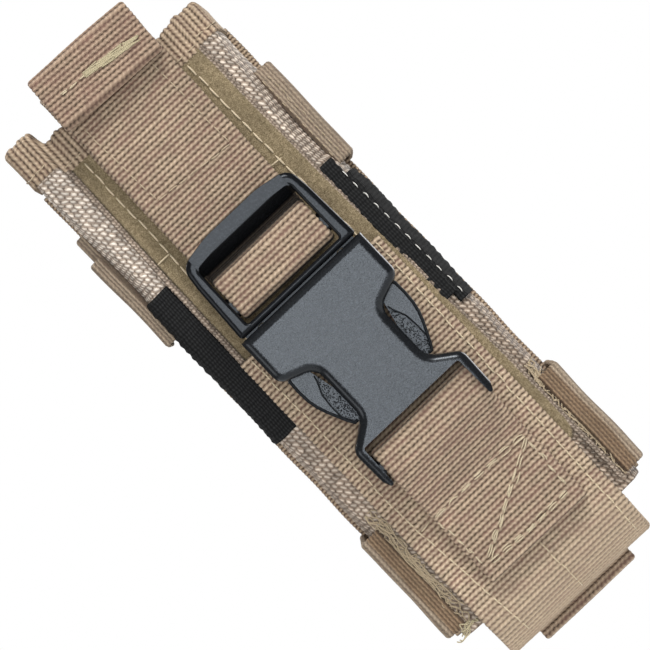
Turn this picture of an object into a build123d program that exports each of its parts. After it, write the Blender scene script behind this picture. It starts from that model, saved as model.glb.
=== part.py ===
from build123d import *
import math
import os

# Belt pouch for a hand torch: nylon pocket with elastic side gussets, an adjustable
# retention strap over the mouth with a 25 mm side-release buckle, and a snap-down
# MOLLE strap on the back.  Millimetres.  +Z runs up towards the mouth, the front
# faces -Y, the wearer side is +Y.  Heights below are counted from the lowest fold
# of the wrap webbing; every solid is shifted by -Z_ORIGIN before it is written, so
# the row origin is the centre of the outer face of the MOLLE strap's sewn anchor.

Z_ORIGIN = 108.5

# ---------------------------------------------------------------- webbing sizes
W_NARROW = 24.6          # 1 in webbing, as woven
W_WIDE = 38.0            # 1.5 in webbing, as woven
T_WIDE = 1.7
T_STRAP = 1.3
T_BAND = 1.4
GAP = 0.3

# ---------------------------------------------------------------- pocket
BACK_HALF = 24.6         # half width at the back panel
FRONT_HALF = 18.5        # half width at the front panel
POCKET_DEPTH = 26.0
MOUTH_Z = 138.4          # cut edge of the fabric at the mouth
WING_Z = 142.2           # cut edge on the higher left gusset
BACK_TOP_Z = 139.4
GUSSET_BOTTOM_Z = 10.0
GUSSET_T = 1.05

# ---------------------------------------------------------------- stack from the back
Y_BAND_OUT = -2.0
Y_BAND_IN = Y_BAND_OUT - T_BAND              # -3.4
Y_RUN_OUT = -3.7
Y_RUN_IN = Y_RUN_OUT - T_STRAP               # -5.0
Y_BACK_OUT = -5.9
Y_BACK_IN = -7.4
Y_FRONT_IN = Y_BACK_IN - POCKET_DEPTH        # -33.4
Y_FRONT_OUT = Y_FRONT_IN - 1.0               # -34.4
Y_TAPE_OUT = Y_FRONT_OUT - 1.2               # -35.6
Y_WRAP_IN = Y_TAPE_OUT - 0.1                 # -35.7
Y_WRAP_OUT = Y_WRAP_IN - T_WIDE              # -37.4
Y_LOAD_IN = -36.3
Y_LOAD_OUT = Y_LOAD_IN - T_STRAP             # -37.6
Y_SLOOP_OUT = Y_LOAD_OUT - 0.7               # -38.3
Y_HOOK_IN = Y_SLOOP_OUT - GAP                # -38.6
Y_HOOK_OUT = Y_HOOK_IN - 0.7                 # -39.3
Y_TAIL_OUT = Y_HOOK_OUT - 1.4                # -40.7

# ---------------------------------------------------------------- buckle
FEM_BACK = -37.7
FEM_FRONT = -48.3
FEM_HALF = 16.05
FEM_TOP = 83.4
CAV_BACK = -40.2
CAV_FRONT = -45.8
CAV_HALF = 14.9
CAV_BOTTOM = 55.0
MALE_TOP = 103.6
MALE_BASE = 83.8
MALE_BACK = -41.0
MALE_FRONT = -47.4
WINDOW_HALF = 12.5
ARM_BACK = -40.8
ARM_FRONT = -45.2
LATCH_X = 10.7           # hinge line of each latch arm
LATCH_Z = 82.2
RELEASE_TRAVEL = 30.0

# ---------------------------------------------------------------- back bands, MOLLE strap
BAND_UP = (95.0, 121.3)
BAND_LO = (10.6, 37.6)
BAND_OUT_X = 26.6
ANCHOR_Z = (97.0, 120.0)
MOLLE_TOP = 96.5
MOLLE_TIP = -4.6
MOLLE_T = 1.5
SNAP_Z = 24.0

# ================================================================= helpers
def _p3(plane, at, u, v):
    if plane == "xz":
        return (u, at, v)
    if plane == "yz":
        return (at, u, v)
    return (u, v, at)


def _unit(ax, ay):
    n = math.hypot(ax, ay)
    return ax / n, ay / n


def outline(pts, plane, at):
    """Closed face from corner points (u, v, radius)."""
    n = len(pts)
    spans = []
    for i in range(n):
        px, py, r = pts[i]
        ax, ay, _ = pts[i - 1]
        bx, by, _ = pts[(i + 1) % n]
        d0 = _unit(px - ax, py - ay)
        d1 = _unit(bx - px, by - py)
        if r <= 0:
            spans.append(((px, py), None, (px, py)))
            continue
        turn = math.atan2(d0[0] * d1[1] - d0[1] * d1[0], d0[0] * d1[0] + d0[1] * d1[1])
        tl = r * math.tan(abs(turn) / 2)
        s = 1 if turn > 0 else -1
        a = (px - d0[0] * tl, py - d0[1] * tl)
        b = (px + d1[0] * tl, py + d1[1] * tl)
        c = (a[0] - s * d0[1] * r, a[1] + s * d0[0] * r)
        m = _unit(px - c[0], py - c[1])
        spans.append((a, (c[0] + m[0] * r, c[1] + m[1] * r), b))
    edges = []
    for i in range(n):
        a, m, b = spans[i]
        if m is not None:
            edges.append(ThreePointArc(_p3(plane, at, *a), _p3(plane, at, *m), _p3(plane, at, *b)))
        c = spans[(i + 1) % n][0]
        if math.hypot(c[0] - b[0], c[1] - b[1]) > 1e-6:
            edges.append(Line(_p3(plane, at, *b), _p3(plane, at, *c)))
    return Face(Wire(edges))


def ribbon(pts, t, plane, at):
    """Closed face of constant thickness t along an open path of (u, v, radius)."""
    h = t / 2
    left, right = [], []
    n = len(pts)
    dirs = [_unit(pts[i + 1][0] - pts[i][0], pts[i + 1][1] - pts[i][1]) for i in range(n - 1)]
    ends = lambda q, d, s: (q[0] - s * d[1] * h, q[1] + s * d[0] * h)
    for s, side in ((1, left), (-1, right)):
        side.append(("p", ends(pts[0], dirs[0], s)))
        for i in range(1, n - 1):
            px, py, r = pts[i]
            d0, d1 = dirs[i - 1], dirs[i]
            turn = math.atan2(d0[0] * d1[1] - d0[1] * d1[0], d0[0] * d1[0] + d0[1] * d1[1])
            k = 1 if turn > 0 else -1
            tl = r * math.tan(abs(turn) / 2)
            a = (px - d0[0] * tl, py - d0[1] * tl)
            b = (px + d1[0] * tl, py + d1[1] * tl)
            c = (a[0] - k * d0[1] * r, a[1] + k * d0[0] * r)
            rr = r - s * k * h
            m = _unit(px - c[0], py - c[1])
            side.append(("p", ends(a, d0, s)))
            side.append(("m", (c[0] + m[0] * rr, c[1] + m[1] * rr)))
            side.append(("p", ends(b, d1, s)))
        side.append(("p", ends(pts[-1], dirs[-1], s)))
    seq = left + right[::-1]
    edges = []
    i = 0
    m = len(seq)
    while i < m:
        k, q = seq[i]
        nk, nq = seq[(i + 1) % m]
        if nk == "m":
            nnq = seq[(i + 2) % m][1]
            edges.append(ThreePointArc(_p3(plane, at, *q), _p3(plane, at, *nq), _p3(plane, at, *nnq)))
            i += 2
            continue
        if math.hypot(nq[0] - q[0], nq[1] - q[1]) > 1e-6:
            edges.append(Line(_p3(plane, at, *q), _p3(plane, at, *nq)))
        i += 1
    return Face(Wire(edges))


def across_x(face, half):
    """Extrude a face drawn at x = -half to x = +half."""
    return extrude(face, amount=2 * half, dir=(1, 0, 0))


def up_z(face, height):
    return extrude(face, amount=height, dir=(0, 0, 1))


def forward(face, depth):
    """Extrude a face drawn at its rear y towards the front."""
    return extrude(face, amount=depth, dir=(0, -1, 0))


def block(x0, x1, y0, y1, z0, z1):
    return Pos((x0 + x1) / 2, (y0 + y1) / 2, (z0 + z1) / 2) * Box(abs(x1 - x0), abs(y1 - y0), abs(z1 - z0))


def disc(y0, y1, r, z, x=0.0):
    """Round piece on an axis along Y."""
    return Pos(x, (y0 + y1) / 2, z) * Rot(90, 0, 0) * Cylinder(r, abs(y1 - y0))


def gusset_x(y):
    """Outer face of the gusset at depth y."""
    f = (y - Y_FRONT_OUT) / (Y_BACK_IN - Y_FRONT_OUT)
    return FRONT_HALF + f * (BACK_HALF - FRONT_HALF)


def soften(solid, edges, sizes):
    """Round edges with the first radius that closes."""
    for r in sizes:
        try:
            s = fillet(edges, r)
            if s.is_valid and abs(s.volume) > 0:
                return s
        except Exception:
            pass
    print("left sharp", round(solid.volume))
    return solid


NODES = {}


def node(name, shape):
    NODES[name] = shape


# ================================================================= pocket
def gusset(side, z0, z1, grow=0.0):
    yb, yf = Y_BACK_IN - 0.05, Y_FRONT_OUT
    xb, xf = gusset_x(yb), gusset_x(yf)
    pts = [(side * (xb + grow), yb, 0), (side * (xf + grow), yf, 0),
           (side * (xf - GUSSET_T), yf, 0), (side * (xb - GUSSET_T), yb, 0)]
    body = up_z(outline(pts, "xy", z0), z1 - z0)
    if z1 > 131.0:
        body = body - block(-30, 30, Y_BACK_IN + 1, Y_BACK_IN - 0.75, 131.8, z1 + 1)
    return body


node("back_panel", block(-BACK_HALF, BACK_HALF, Y_BACK_OUT, Y_BACK_OUT - 0.5, 8.0, BACK_TOP_Z))
node("back_stiffener", block(-BACK_HALF + 2.5, BACK_HALF - 2.5, Y_BACK_OUT - 0.5, Y_BACK_IN + 0.5, 12.0, 131.0))
node("back_lining", block(-BACK_HALF, BACK_HALF, Y_BACK_IN + 0.5, Y_BACK_IN, 8.0, BACK_TOP_Z))

FP_MID = Y_FRONT_IN - 0.5
front_path = [(FP_MID, MOUTH_Z, 0), (FP_MID, 2.5, 9.0), (Y_BACK_IN - 0.55, 2.5, 7.0), (Y_BACK_IN - 0.55, 13.0, 0)]
node("front_panel", across_x(ribbon(front_path, 1.0, "yz", -(FRONT_HALF - 1.1)), FRONT_HALF - 1.1))

tape = outline([(-FRONT_HALF, 24.0, 5.0), (FRONT_HALF, 24.0, 5.0), (FRONT_HALF, 132.3, 0), (-FRONT_HALF, 132.3, 0)],
               "xz", Y_FRONT_OUT)
node("loop_tape", forward(tape, Y_FRONT_OUT - Y_TAPE_OUT))

node("gusset_left_upper", gusset(-1, 102.0, WING_Z))
node("elastic_left", gusset(-1, 64.0, 102.0, 0.25))
node("gusset_left_lower", gusset(-1, GUSSET_BOTTOM_Z, 64.0))
node("gusset_right_upper", gusset(1, 98.0, MOUTH_Z))
node("elastic_right", gusset(1, 60.5, 98.0, 0.25))
node("gusset_right_lower", gusset(1, GUSSET_BOTTOM_Z, 60.5))


def binding_side(side, z0, z1, cut):
    """Channel of grosgrain over the top edge of one gusset."""
    yb, yf = Y_BACK_IN - 0.75, Y_FRONT_OUT
    t = 0.8
    pts = [(side * (gusset_x(yb) + t), yb, 0), (side * (gusset_x(yf) + t), yf, 0),
           (side * (gusset_x(yf) - GUSSET_T - t), yf, 0), (side * (gusset_x(yb) - GUSSET_T - t), yb, 0)]
    return up_z(outline(pts, "xy", z0), z1 - z0) - gusset(side, z0 - 1, cut)


bind_front = block(-FRONT_HALF - 0.8, FRONT_HALF + 0.8, Y_FRONT_OUT, Y_FRONT_OUT - 1.6, 132.4, MOUTH_Z + 1.0)
bind_cap = block(-FRONT_HALF + 1.9, FRONT_HALF - 1.9, Y_FRONT_OUT, Y_FRONT_IN + 0.8, MOUTH_Z, MOUTH_Z + 1.0)
bind_in = block(-FRONT_HALF + 1.9, FRONT_HALF - 1.9, Y_FRONT_IN, Y_FRONT_IN + 0.8, 132.4, MOUTH_Z + 1.0)
bind = bind_front + bind_cap + bind_in
bind = bind + binding_side(-1, 136.0, WING_Z + 1.0, WING_Z) + binding_side(1, 132.4, MOUTH_Z + 1.0, MOUTH_Z)
bind = bind - block(-(FRONT_HALF - 1.1), FRONT_HALF - 1.1, Y_FRONT_OUT, Y_FRONT_IN, 100.0, MOUTH_Z)
node("mouth_binding", bind)

back_bind = (block(-BACK_HALF - 0.6, BACK_HALF + 0.6, Y_BACK_OUT + 0.6, Y_BACK_IN - 0.6, 132.0, BACK_TOP_Z + 0.8)
             - block(-BACK_HALF, BACK_HALF, Y_BACK_OUT, Y_BACK_IN, 100.0, BACK_TOP_Z))
node("back_binding", back_bind)

# wide webbing: down the front, under the pocket, up the back
WRAP_F = (Y_WRAP_IN + Y_WRAP_OUT) / 2
WRAP_B = Y_BAND_IN - 0.4 - T_WIDE / 2
wrap_path = [(WRAP_F, 80.6, 0), (WRAP_F, T_WIDE / 2, 11.0), (WRAP_B, T_WIDE / 2, 9.0), (WRAP_B, 50.0, 0)]
node("wrap_webbing", across_x(ribbon(wrap_path, T_WIDE, "yz", -W_WIDE / 2), W_WIDE / 2))

# ================================================================= bands on the back
def band(z0, z1, out_x, y_end):
    mid = (Y_BAND_OUT + Y_BAND_IN) / 2
    off = T_BAND / 2 + 0.45
    xe = gusset_x(y_end) + off
    xk = gusset_x(-13.0) + off
    half = [(xe, y_end), (xk, -13.0), (out_x, -8.6), (out_x, mid)]
    radii = [0, 6.0, 3.0, 3.2]
    pts = [(x, y, r) for (x, y), r in zip(half, radii)]
    pts += [(-x, y, r) for (x, y), r in zip(half[::-1], radii[::-1])]
    return up_z(ribbon(pts, T_BAND, "xy", z0), z1 - z0)


node("upper_back_band", band(BAND_UP[0], BAND_UP[1], BAND_OUT_X, -20.0))
stud_hole = disc(Y_BAND_OUT + 1, Y_BAND_IN - 0.2, 1.85, SNAP_Z)
node("lower_back_band", band(BAND_LO[0], BAND_LO[1], BAND_OUT_X + 0.5, -21.0) - stud_hole)
node("molle_anchor", block(-W_NARROW / 2, W_NARROW / 2, Y_BAND_OUT, 0.0, ANCHOR_Z[0], ANCHOR_Z[1]))
node("snap_stud", disc(Y_BAND_IN, Y_BAND_IN - 0.35, 4.2, SNAP_Z) + disc(Y_BAND_IN, -0.75, 1.85, SNAP_Z))

# ================================================================= female buckle
fem_half = [(FEM_HALF, FEM_TOP, 0), (FEM_HALF, 72.5, 2.6), (8.75, 69.8, 3.2), (8.75, 56.8, 3.4), (14.75, 52.6, 2.6),
            (14.5, 44.6, 0), (13.0, 41.3, 0.45), (12.75, 52.0, 0.6)]
fem_pts = [(x, z, r) for x, z, r in fem_half] + [(-x, z, r) for x, z, r in fem_half[::-1]]
female = forward(outline(fem_pts, "xz", FEM_BACK), FEM_BACK - FEM_FRONT)


def rim(solid, y, z_top):
    """Edges of the face at depth y, split into those on the top line and the rest."""
    ring = [e for e in solid.edges() if abs(e.center().Y - y) < 1e-4]
    top = [e for e in ring if e.center().Z > z_top]
    return top, [e for e in ring if e not in top]


outer = [e for e in rim(female, FEM_FRONT, 83.5)[1]
         if e.center().Z > 44.7 and not (abs(e.center().X) < 13.0 and e.center().Z < 52.7)]
female = soften(female, outer, [1.8, 1.5, 1.2, 1.0])
outer = [e for e in rim(female, FEM_BACK, 83.5)[1]
         if e.center().Z > 44.7 and not (abs(e.center().X) < 13.0 and e.center().Z < 52.7)]
female = soften(female, outer, [0.8, 0.6, 0.4])
female = female - block(-CAV_HALF, CAV_HALF, CAV_BACK, CAV_FRONT, CAV_BOTTOM, FEM_TOP + 1)
# lower bar that carries the sewn loop, ends buried in the legs
bar_f = outline([(-44.9, 45.0, 1.2), (-41.3, 45.0, 1.2), (-41.3, 48.4, 1.2), (-44.9, 48.4, 1.2)], "yz", -13.4)
female = female + across_x(bar_f, 13.4)
node("buckle_female", female)

# sewn webbing loop that holds the female half
LOOP_W = 25.0
BAR_Y, BAR_Z = -43.1, 46.7
loop_path = [(-38.15, 14.8, 0), (-38.15, 36.0, 8.0), (-40.4, 44.0, 4.0), (-40.4, 49.75, 1.5), (-46.0, 49.75, 1.5),
             (-46.0, 44.5, 5.0), (-39.75, 32.0, 8.0), (-39.75, 14.8, 0)]
node("female_web_loop", across_x(ribbon(loop_path, 1.3, "yz", -LOOP_W / 2), LOOP_W / 2))

# ================================================================= male buckle
male_out = [(-15.45, MALE_BASE, 0.8), (15.45, MALE_BASE, 0.8), (14.9, 97.0, 8.0), (14.3, 102.2, 3.2), (7.0, MALE_TOP, 16.0),
            (-7.0, MALE_TOP, 16.0), (-14.3, 102.2, 3.2), (-14.9, 97.0, 8.0)]
male = forward(outline(male_out, "xz", MALE_BACK), MALE_BACK - MALE_FRONT)
male = soften(male, male.faces().sort_by(Axis.Y)[0].edges(), [1.2, 0.9, 0.6, 0.3])
male = soften(male, male.faces().sort_by(Axis.Y)[-1].edges(), [0.5, 0.3])
win = outline([(-WINDOW_HALF, 85.3, 0.6), (WINDOW_HALF, 85.3, 0.6), (WINDOW_HALF - 0.1, 100.0, 1.2), (6.0, 100.7, 12.0),
               (-6.0, 100.7, 12.0), (-WINDOW_HALF + 0.1, 100.0, 1.2)], "xz", MALE_BACK + 1)
male = male - forward(win, 10.0)
win_edges = [e for e in male.edges() if abs(e.center().Y - MALE_FRONT) < 1e-4 and abs(e.center().X) < WINDOW_HALF + 0.05
             and 85.0 < e.center().Z < 101.0]
male = soften(male, win_edges, [0.95, 0.8, 0.6, 0.4])
mid_f = outline([(-45.3, 87.5, 1.0), (-42.2, 87.5, 1.0), (-42.2, 92.0, 1.3), (-45.3, 92.0, 1.3)], "yz", -13.3)
male = male + across_x(mid_f, 13.3)
# lip under the top bar: slopes down and back behind the window
lip_f = outline([(-46.6, 100.3, 0.3), (-42.0, 98.0, 0.4), (-41.1, 98.0, 0.3), (-41.1, 101.8, 0), (-46.6, 101.8, 0)], "yz", -13.3)
male = male + across_x(lip_f, 13.3)
# the top bar sits a little lower than the two side rails
male = male - block(-12.3, 12.3, -46.75, -48.5, 99.0, 104.5)
# web between the latch roots closes the slot above the female half
male = male + block(-8.2, 8.2, ARM_BACK - 0.2, ARM_FRONT, 81.9, MALE_BASE + 0.6)
for s in (-1, 1):
    male = male + block(s * 13.25, s * 14.5, ARM_BACK - 0.2, ARM_FRONT, 81.9, MALE_BASE + 0.6)
# front face of the lower cross bar set back behind the webbing
guide = outline([(-2.6, 60.0, 2.0), (2.6, 60.0, 2.0), (3.4, 66.0, 4.0), (3.4, 78.0, 1.0), (5.6, MALE_BASE + 0.6, 0),
                 (-5.6, MALE_BASE + 0.6, 0), (-3.4, 78.0, 1.0), (-3.4, 66.0, 4.0)], "xz", ARM_BACK)
guide_s = forward(guide, ARM_BACK - ARM_FRONT)
male = male + guide_s
# pockets that hold the round root of each latch arm
for s in (-1, 1):
    ear = outline([(s * (LATCH_X - 2.6), MALE_BASE + 0.6, 0), (s * (LATCH_X + 2.6), MALE_BASE + 0.6, 0),
                   (s * (LATCH_X + 2.6), LATCH_Z + 0.9, 0.4), (s * (LATCH_X - 2.6), LATCH_Z + 0.9, 0.4)], "xz", ARM_BACK)
    male = male + forward(ear, ARM_BACK - ARM_FRONT)
    male = male - disc(ARM_BACK + 1, ARM_FRONT - 1, 1.55, LATCH_Z, s * LATCH_X)
node("buckle_male", male)

# latch arms: round root, springy stem, leaf-shaped catch head
def latch(side):
    pts = [(11.9, 81.6, 0.3), (12.3, 74.2, 1.5), (14.1, 73.0, 0.5), (14.6, 71.4, 0.8), (14.55, 66.4, 6.0),
           (13.3, 62.2, 8.0), (11.4, 57.8, 2.0), (10.2, 56.2, 0.8), (8.5, 57.0, 0.8), (8.6, 64.0, 6.0), (10.2, 71.0, 3.0),
           (9.6, 81.6, 0.3)]
    f = outline([(side * x, z, r) for x, z, r in pts], "xz", ARM_BACK - 0.05)
    arm = forward(f, ARM_BACK - ARM_FRONT - 0.1)
    root = disc(ARM_BACK - 0.05, ARM_FRONT + 0.05, 1.35, LATCH_Z, side * LATCH_X)
    # finger pad stands proud of the recessed inner part of the head
    dip = outline([(side * x, z, r) for x, z, r in
                   [(9.7, 76.0, 0), (9.7, 68.6, 0.8), (11.3, 65.1, 1.5), (11.5, 59.6, 1.5), (11.0, 54.0, 0),
                    (7.0, 54.0, 0), (7.0, 76.0, 0)]], "xz", ARM_FRONT + 1.1)
    return arm + root - forward(dip, 2.0)


node("latch_arm_left", latch(-1))
node("latch_arm_right", latch(1))

# ================================================================= retention strap
RUN_MID = (Y_RUN_OUT + Y_RUN_IN) / 2
LOAD_MID = (Y_LOAD_IN + Y_LOAD_OUT) / 2
TAIL_MID = -40.0
strap_path = [(RUN_MID, 62.0, 0), (RUN_MID, 146.3, 5.4), (LOAD_MID, 146.3, 6.0), (LOAD_MID, 98.5, 6.0),
              (-41.15, 91.0, 5.0), (-41.15, 86.5, 1.3), (-46.1, 86.5, 1.3), (-46.1, 94.6, 1.6),
              (TAIL_MID, 96.2, 2.0), (TAIL_MID, 104.8, 0)]
node("retention_strap", across_x(ribbon(strap_path, T_STRAP, "yz", -W_NARROW / 2), W_NARROW / 2))
node("strap_loop_tape", block(-11.5, 11.5, Y_LOAD_OUT, Y_SLOOP_OUT, 107.0, 134.0))

# tail of the strap, peeled up to adjust the length
node("strap_tail", block(-W_NARROW / 2, W_NARROW / 2, Y_HOOK_OUT, Y_TAIL_OUT, 105.1, 148.3))
node("tail_hook_tape", block(-11.5, 11.5, Y_HOOK_IN, Y_HOOK_OUT, 107.0, 147.2))
tab = outline([(Y_TAIL_OUT, 136.8, 0.8), (Y_TAIL_OUT, 149.8, 1.7), (Y_TAIL_OUT - 3.7, 149.8, 1.7),
               (Y_TAIL_OUT - 3.7, 136.8, 1.3)], "yz", -12.6)
tab_hole = outline([(Y_TAIL_OUT - 1.3, 141.2, 0.3), (Y_TAIL_OUT - 1.3, 148.5, 0.5), (Y_TAIL_OUT - 2.4, 148.5, 0.5),
                    (Y_TAIL_OUT - 2.4, 141.2, 0.3)], "yz", -13.0)
node("pull_tab", across_x(tab, 12.6) - across_x(tab_hole, 13.0))

# ================================================================= MOLLE strap
molle = block(-W_NARROW / 2, W_NARROW / 2, -MOLLE_T, 0.0, MOLLE_TIP, MOLLE_TOP)
molle = molle + block(-W_NARROW / 2, W_NARROW / 2, -MOLLE_T - 1.2, 0.0, MOLLE_TIP, 3.4)
molle = molle - block(-9.0, 9.0, -1.05, -0.45, 34.0, MOLLE_TOP + 1)
molle = molle - disc(1.0, -MOLLE_T - 0.2, 2.95, SNAP_Z)
node("molle_strap", molle)
node("molle_stiffener", block(-9.0, 9.0, -1.05, -0.45, 34.0, MOLLE_TOP - 0.5))
sock = disc(0.0, -1.9, 2.9, SNAP_Z) - disc(-0.5, -2.5, 1.95, SNAP_Z)
node("snap_socket", sock)
cap = disc(1.5, 0.0, 5.6, SNAP_Z)
cap = soften(cap, cap.faces().sort_by(Axis.Y)[-1].edges(), [1.2, 0.9, 0.6])
node("snap_cap", cap)

# ================================================================= write
os.makedirs("parts", exist_ok=True)
for name, shape in NODES.items():
    export_step(Pos(0, 0, -Z_ORIGIN) * shape, "parts/" + name + ".step")
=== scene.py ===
import bpy
import math
import numpy as np
from mathutils import Matrix, Vector


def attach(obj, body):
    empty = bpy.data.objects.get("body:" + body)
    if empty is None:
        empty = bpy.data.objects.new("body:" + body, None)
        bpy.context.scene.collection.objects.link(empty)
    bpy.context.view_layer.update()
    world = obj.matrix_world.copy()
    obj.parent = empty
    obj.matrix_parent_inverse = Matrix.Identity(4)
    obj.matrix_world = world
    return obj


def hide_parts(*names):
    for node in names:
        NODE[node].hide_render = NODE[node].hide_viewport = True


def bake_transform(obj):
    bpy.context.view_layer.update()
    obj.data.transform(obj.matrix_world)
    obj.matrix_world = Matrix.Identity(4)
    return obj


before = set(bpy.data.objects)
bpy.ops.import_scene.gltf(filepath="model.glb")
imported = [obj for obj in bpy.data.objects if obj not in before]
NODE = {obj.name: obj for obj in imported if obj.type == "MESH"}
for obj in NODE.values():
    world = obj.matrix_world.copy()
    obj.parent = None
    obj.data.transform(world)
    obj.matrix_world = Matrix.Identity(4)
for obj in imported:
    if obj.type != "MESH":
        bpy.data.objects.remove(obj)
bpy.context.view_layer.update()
Z0 = 108.5                       # drawing height of the row origin, mm
rng = np.random.default_rng(7)


# ------------------------------------------------------------------ meshes
def make(name, co, faces, uv=None, mat=None, body="pocket", flat_caps=False):
    """Mesh from points in mm (drawing height) and face index arrays."""
    co = np.asarray(co, float).copy()
    quads = [np.asarray(f) for f in faces]
    # turn the faces outwards by the sign of the enclosed volume
    vol = 0.0
    for f in quads:
        if f.ndim == 2:
            for k in range(1, f.shape[1] - 1):
                vol += np.einsum("ij,ij->i", co[f[:, 0]], np.cross(co[f[:, k]], co[f[:, k + 1]])).sum()
        else:
            a, b, c = co[f[0]], co[f[1:-1]], co[f[2:]]
            vol += (np.cross(b, c) @ a).sum()
    if vol < 0:
        quads = [f[:, ::-1] if f.ndim == 2 else f[::-1] for f in quads]
    co[:, 2] -= Z0
    co /= 1000.0
    me = bpy.data.meshes.new(name)
    loops, starts, n, smooth = [], [], 0, []
    for f in quads:
        if f.ndim == 1:
            f = f[None, :]
            smooth.append(np.zeros(1, bool))
        else:
            smooth.append(np.ones(len(f), bool))
        k = f.shape[1]
        loops.append(f.ravel())
        starts.append(n + np.arange(len(f)) * k)
        n += f.size
    loops = np.concatenate(loops).astype(np.int32)
    starts = np.concatenate(starts).astype(np.int32)
    smooth = np.concatenate(smooth)
    me.vertices.add(len(co))
    me.vertices.foreach_set("co", co.astype(np.float32).ravel())
    me.loops.add(len(loops))
    me.loops.foreach_set("vertex_index", loops)
    me.polygons.add(len(starts))
    me.polygons.foreach_set("loop_start", starts)
    me.polygons.foreach_set("use_smooth", smooth)
    me.update(calc_edges=True)
    me.validate()
    if uv is not None:
        lay = me.uv_layers.new(name="UVMap")
        lay.data.foreach_set("uv", np.asarray(uv, np.float32)[loops].ravel())
    ob = bpy.data.objects.new(name, me)
    bpy.context.scene.collection.objects.link(ob)
    if mat is not None:
        me.materials.append(mat)
    if body is not None:
        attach(ob, body)
    return ob


def unit(a):
    a = np.asarray(a, float)
    return a / (np.linalg.norm(a, axis=-1, keepdims=True) + 1e-12)


def path2d(pts, ds=None, at=None):
    """Samples a polyline with rounded corners [(u, v, r)], evenly or at given lengths."""
    pts = [(p[0], p[1], p[2] if len(p) > 2 else 0.0) for p in pts]
    out = [np.array(pts[0][:2], float)]
    for i in range(1, len(pts) - 1):
        p, r = np.array(pts[i][:2], float), pts[i][2]
        a, b = np.array(pts[i - 1][:2], float), np.array(pts[i + 1][:2], float)
        if r <= 0:
            out.append(p)
            continue
        d0, d1 = unit(p - a), unit(b - p)
        turn = math.atan2(d0[0] * d1[1] - d0[1] * d1[0], float(d0 @ d1))
        tl = r * math.tan(abs(turn) / 2)
        s = 1 if turn > 0 else -1
        q = p - d0 * tl
        c = q + s * r * np.array([-d0[1], d0[0]])
        a0 = math.atan2(q[1] - c[1], q[0] - c[0])
        k = max(4, int(abs(turn) * 14))
        for j in range(k + 1):
            t = a0 + turn * j / k
            out.append(c + r * np.array([math.cos(t), math.sin(t)]))
    out.append(np.array(pts[-1][:2], float))
    P = np.array(out)
    seg = np.linalg.norm(np.diff(P, axis=0), axis=1)
    keep = np.concatenate([[True], seg > 1e-7])
    P = P[keep]
    s = np.concatenate([[0], np.cumsum(np.linalg.norm(np.diff(P, axis=0), axis=1))])
    L = s[-1]
    if at is None:
        n = max(2, int(round(L / ds)))
        at = np.linspace(0, L, n + 1)
    at = np.clip(at, 0, L)
    Q = np.stack([np.interp(at, s, P[:, 0]), np.interp(at, s, P[:, 1])], 1)
    e = 0.12
    lo, hi = np.clip(at - e, 0, L), np.clip(at + e, 0, L)
    A = np.stack([np.interp(lo, s, P[:, 0]), np.interp(lo, s, P[:, 1])], 1)
    B = np.stack([np.interp(hi, s, P[:, 0]), np.interp(hi, s, P[:, 1])], 1)
    return Q, unit(B - A), at, L


def ring_faces(R, K, caps=True):
    r, k = np.meshgrid(np.arange(R - 1), np.arange(K), indexing="ij")
    k2 = (k + 1) % K
    q = np.stack([r * K + k, r * K + k2, (r + 1) * K + k2, (r + 1) * K + k], -1).reshape(-1, 4)
    f = [q]
    if caps:
        f.append(np.arange(K)[::-1].copy())
        f.append((R - 1) * K + np.arange(K))
    return f


def wave(a, b, seed, wl=22.0, n=4):
    """Smooth random field of two lengths, about -1 to 1."""
    g = np.random.default_rng(seed)
    out = 0
    for i in range(n):
        th, ph = g.uniform(0, 2 * math.pi), g.uniform(0, 2 * math.pi)
        k = 2 * math.pi / (wl * g.uniform(0.6, 1.7))
        out = out + np.sin(k * (math.cos(th) * a + math.sin(th) * b) + ph)
    return out / n * 1.4


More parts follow.
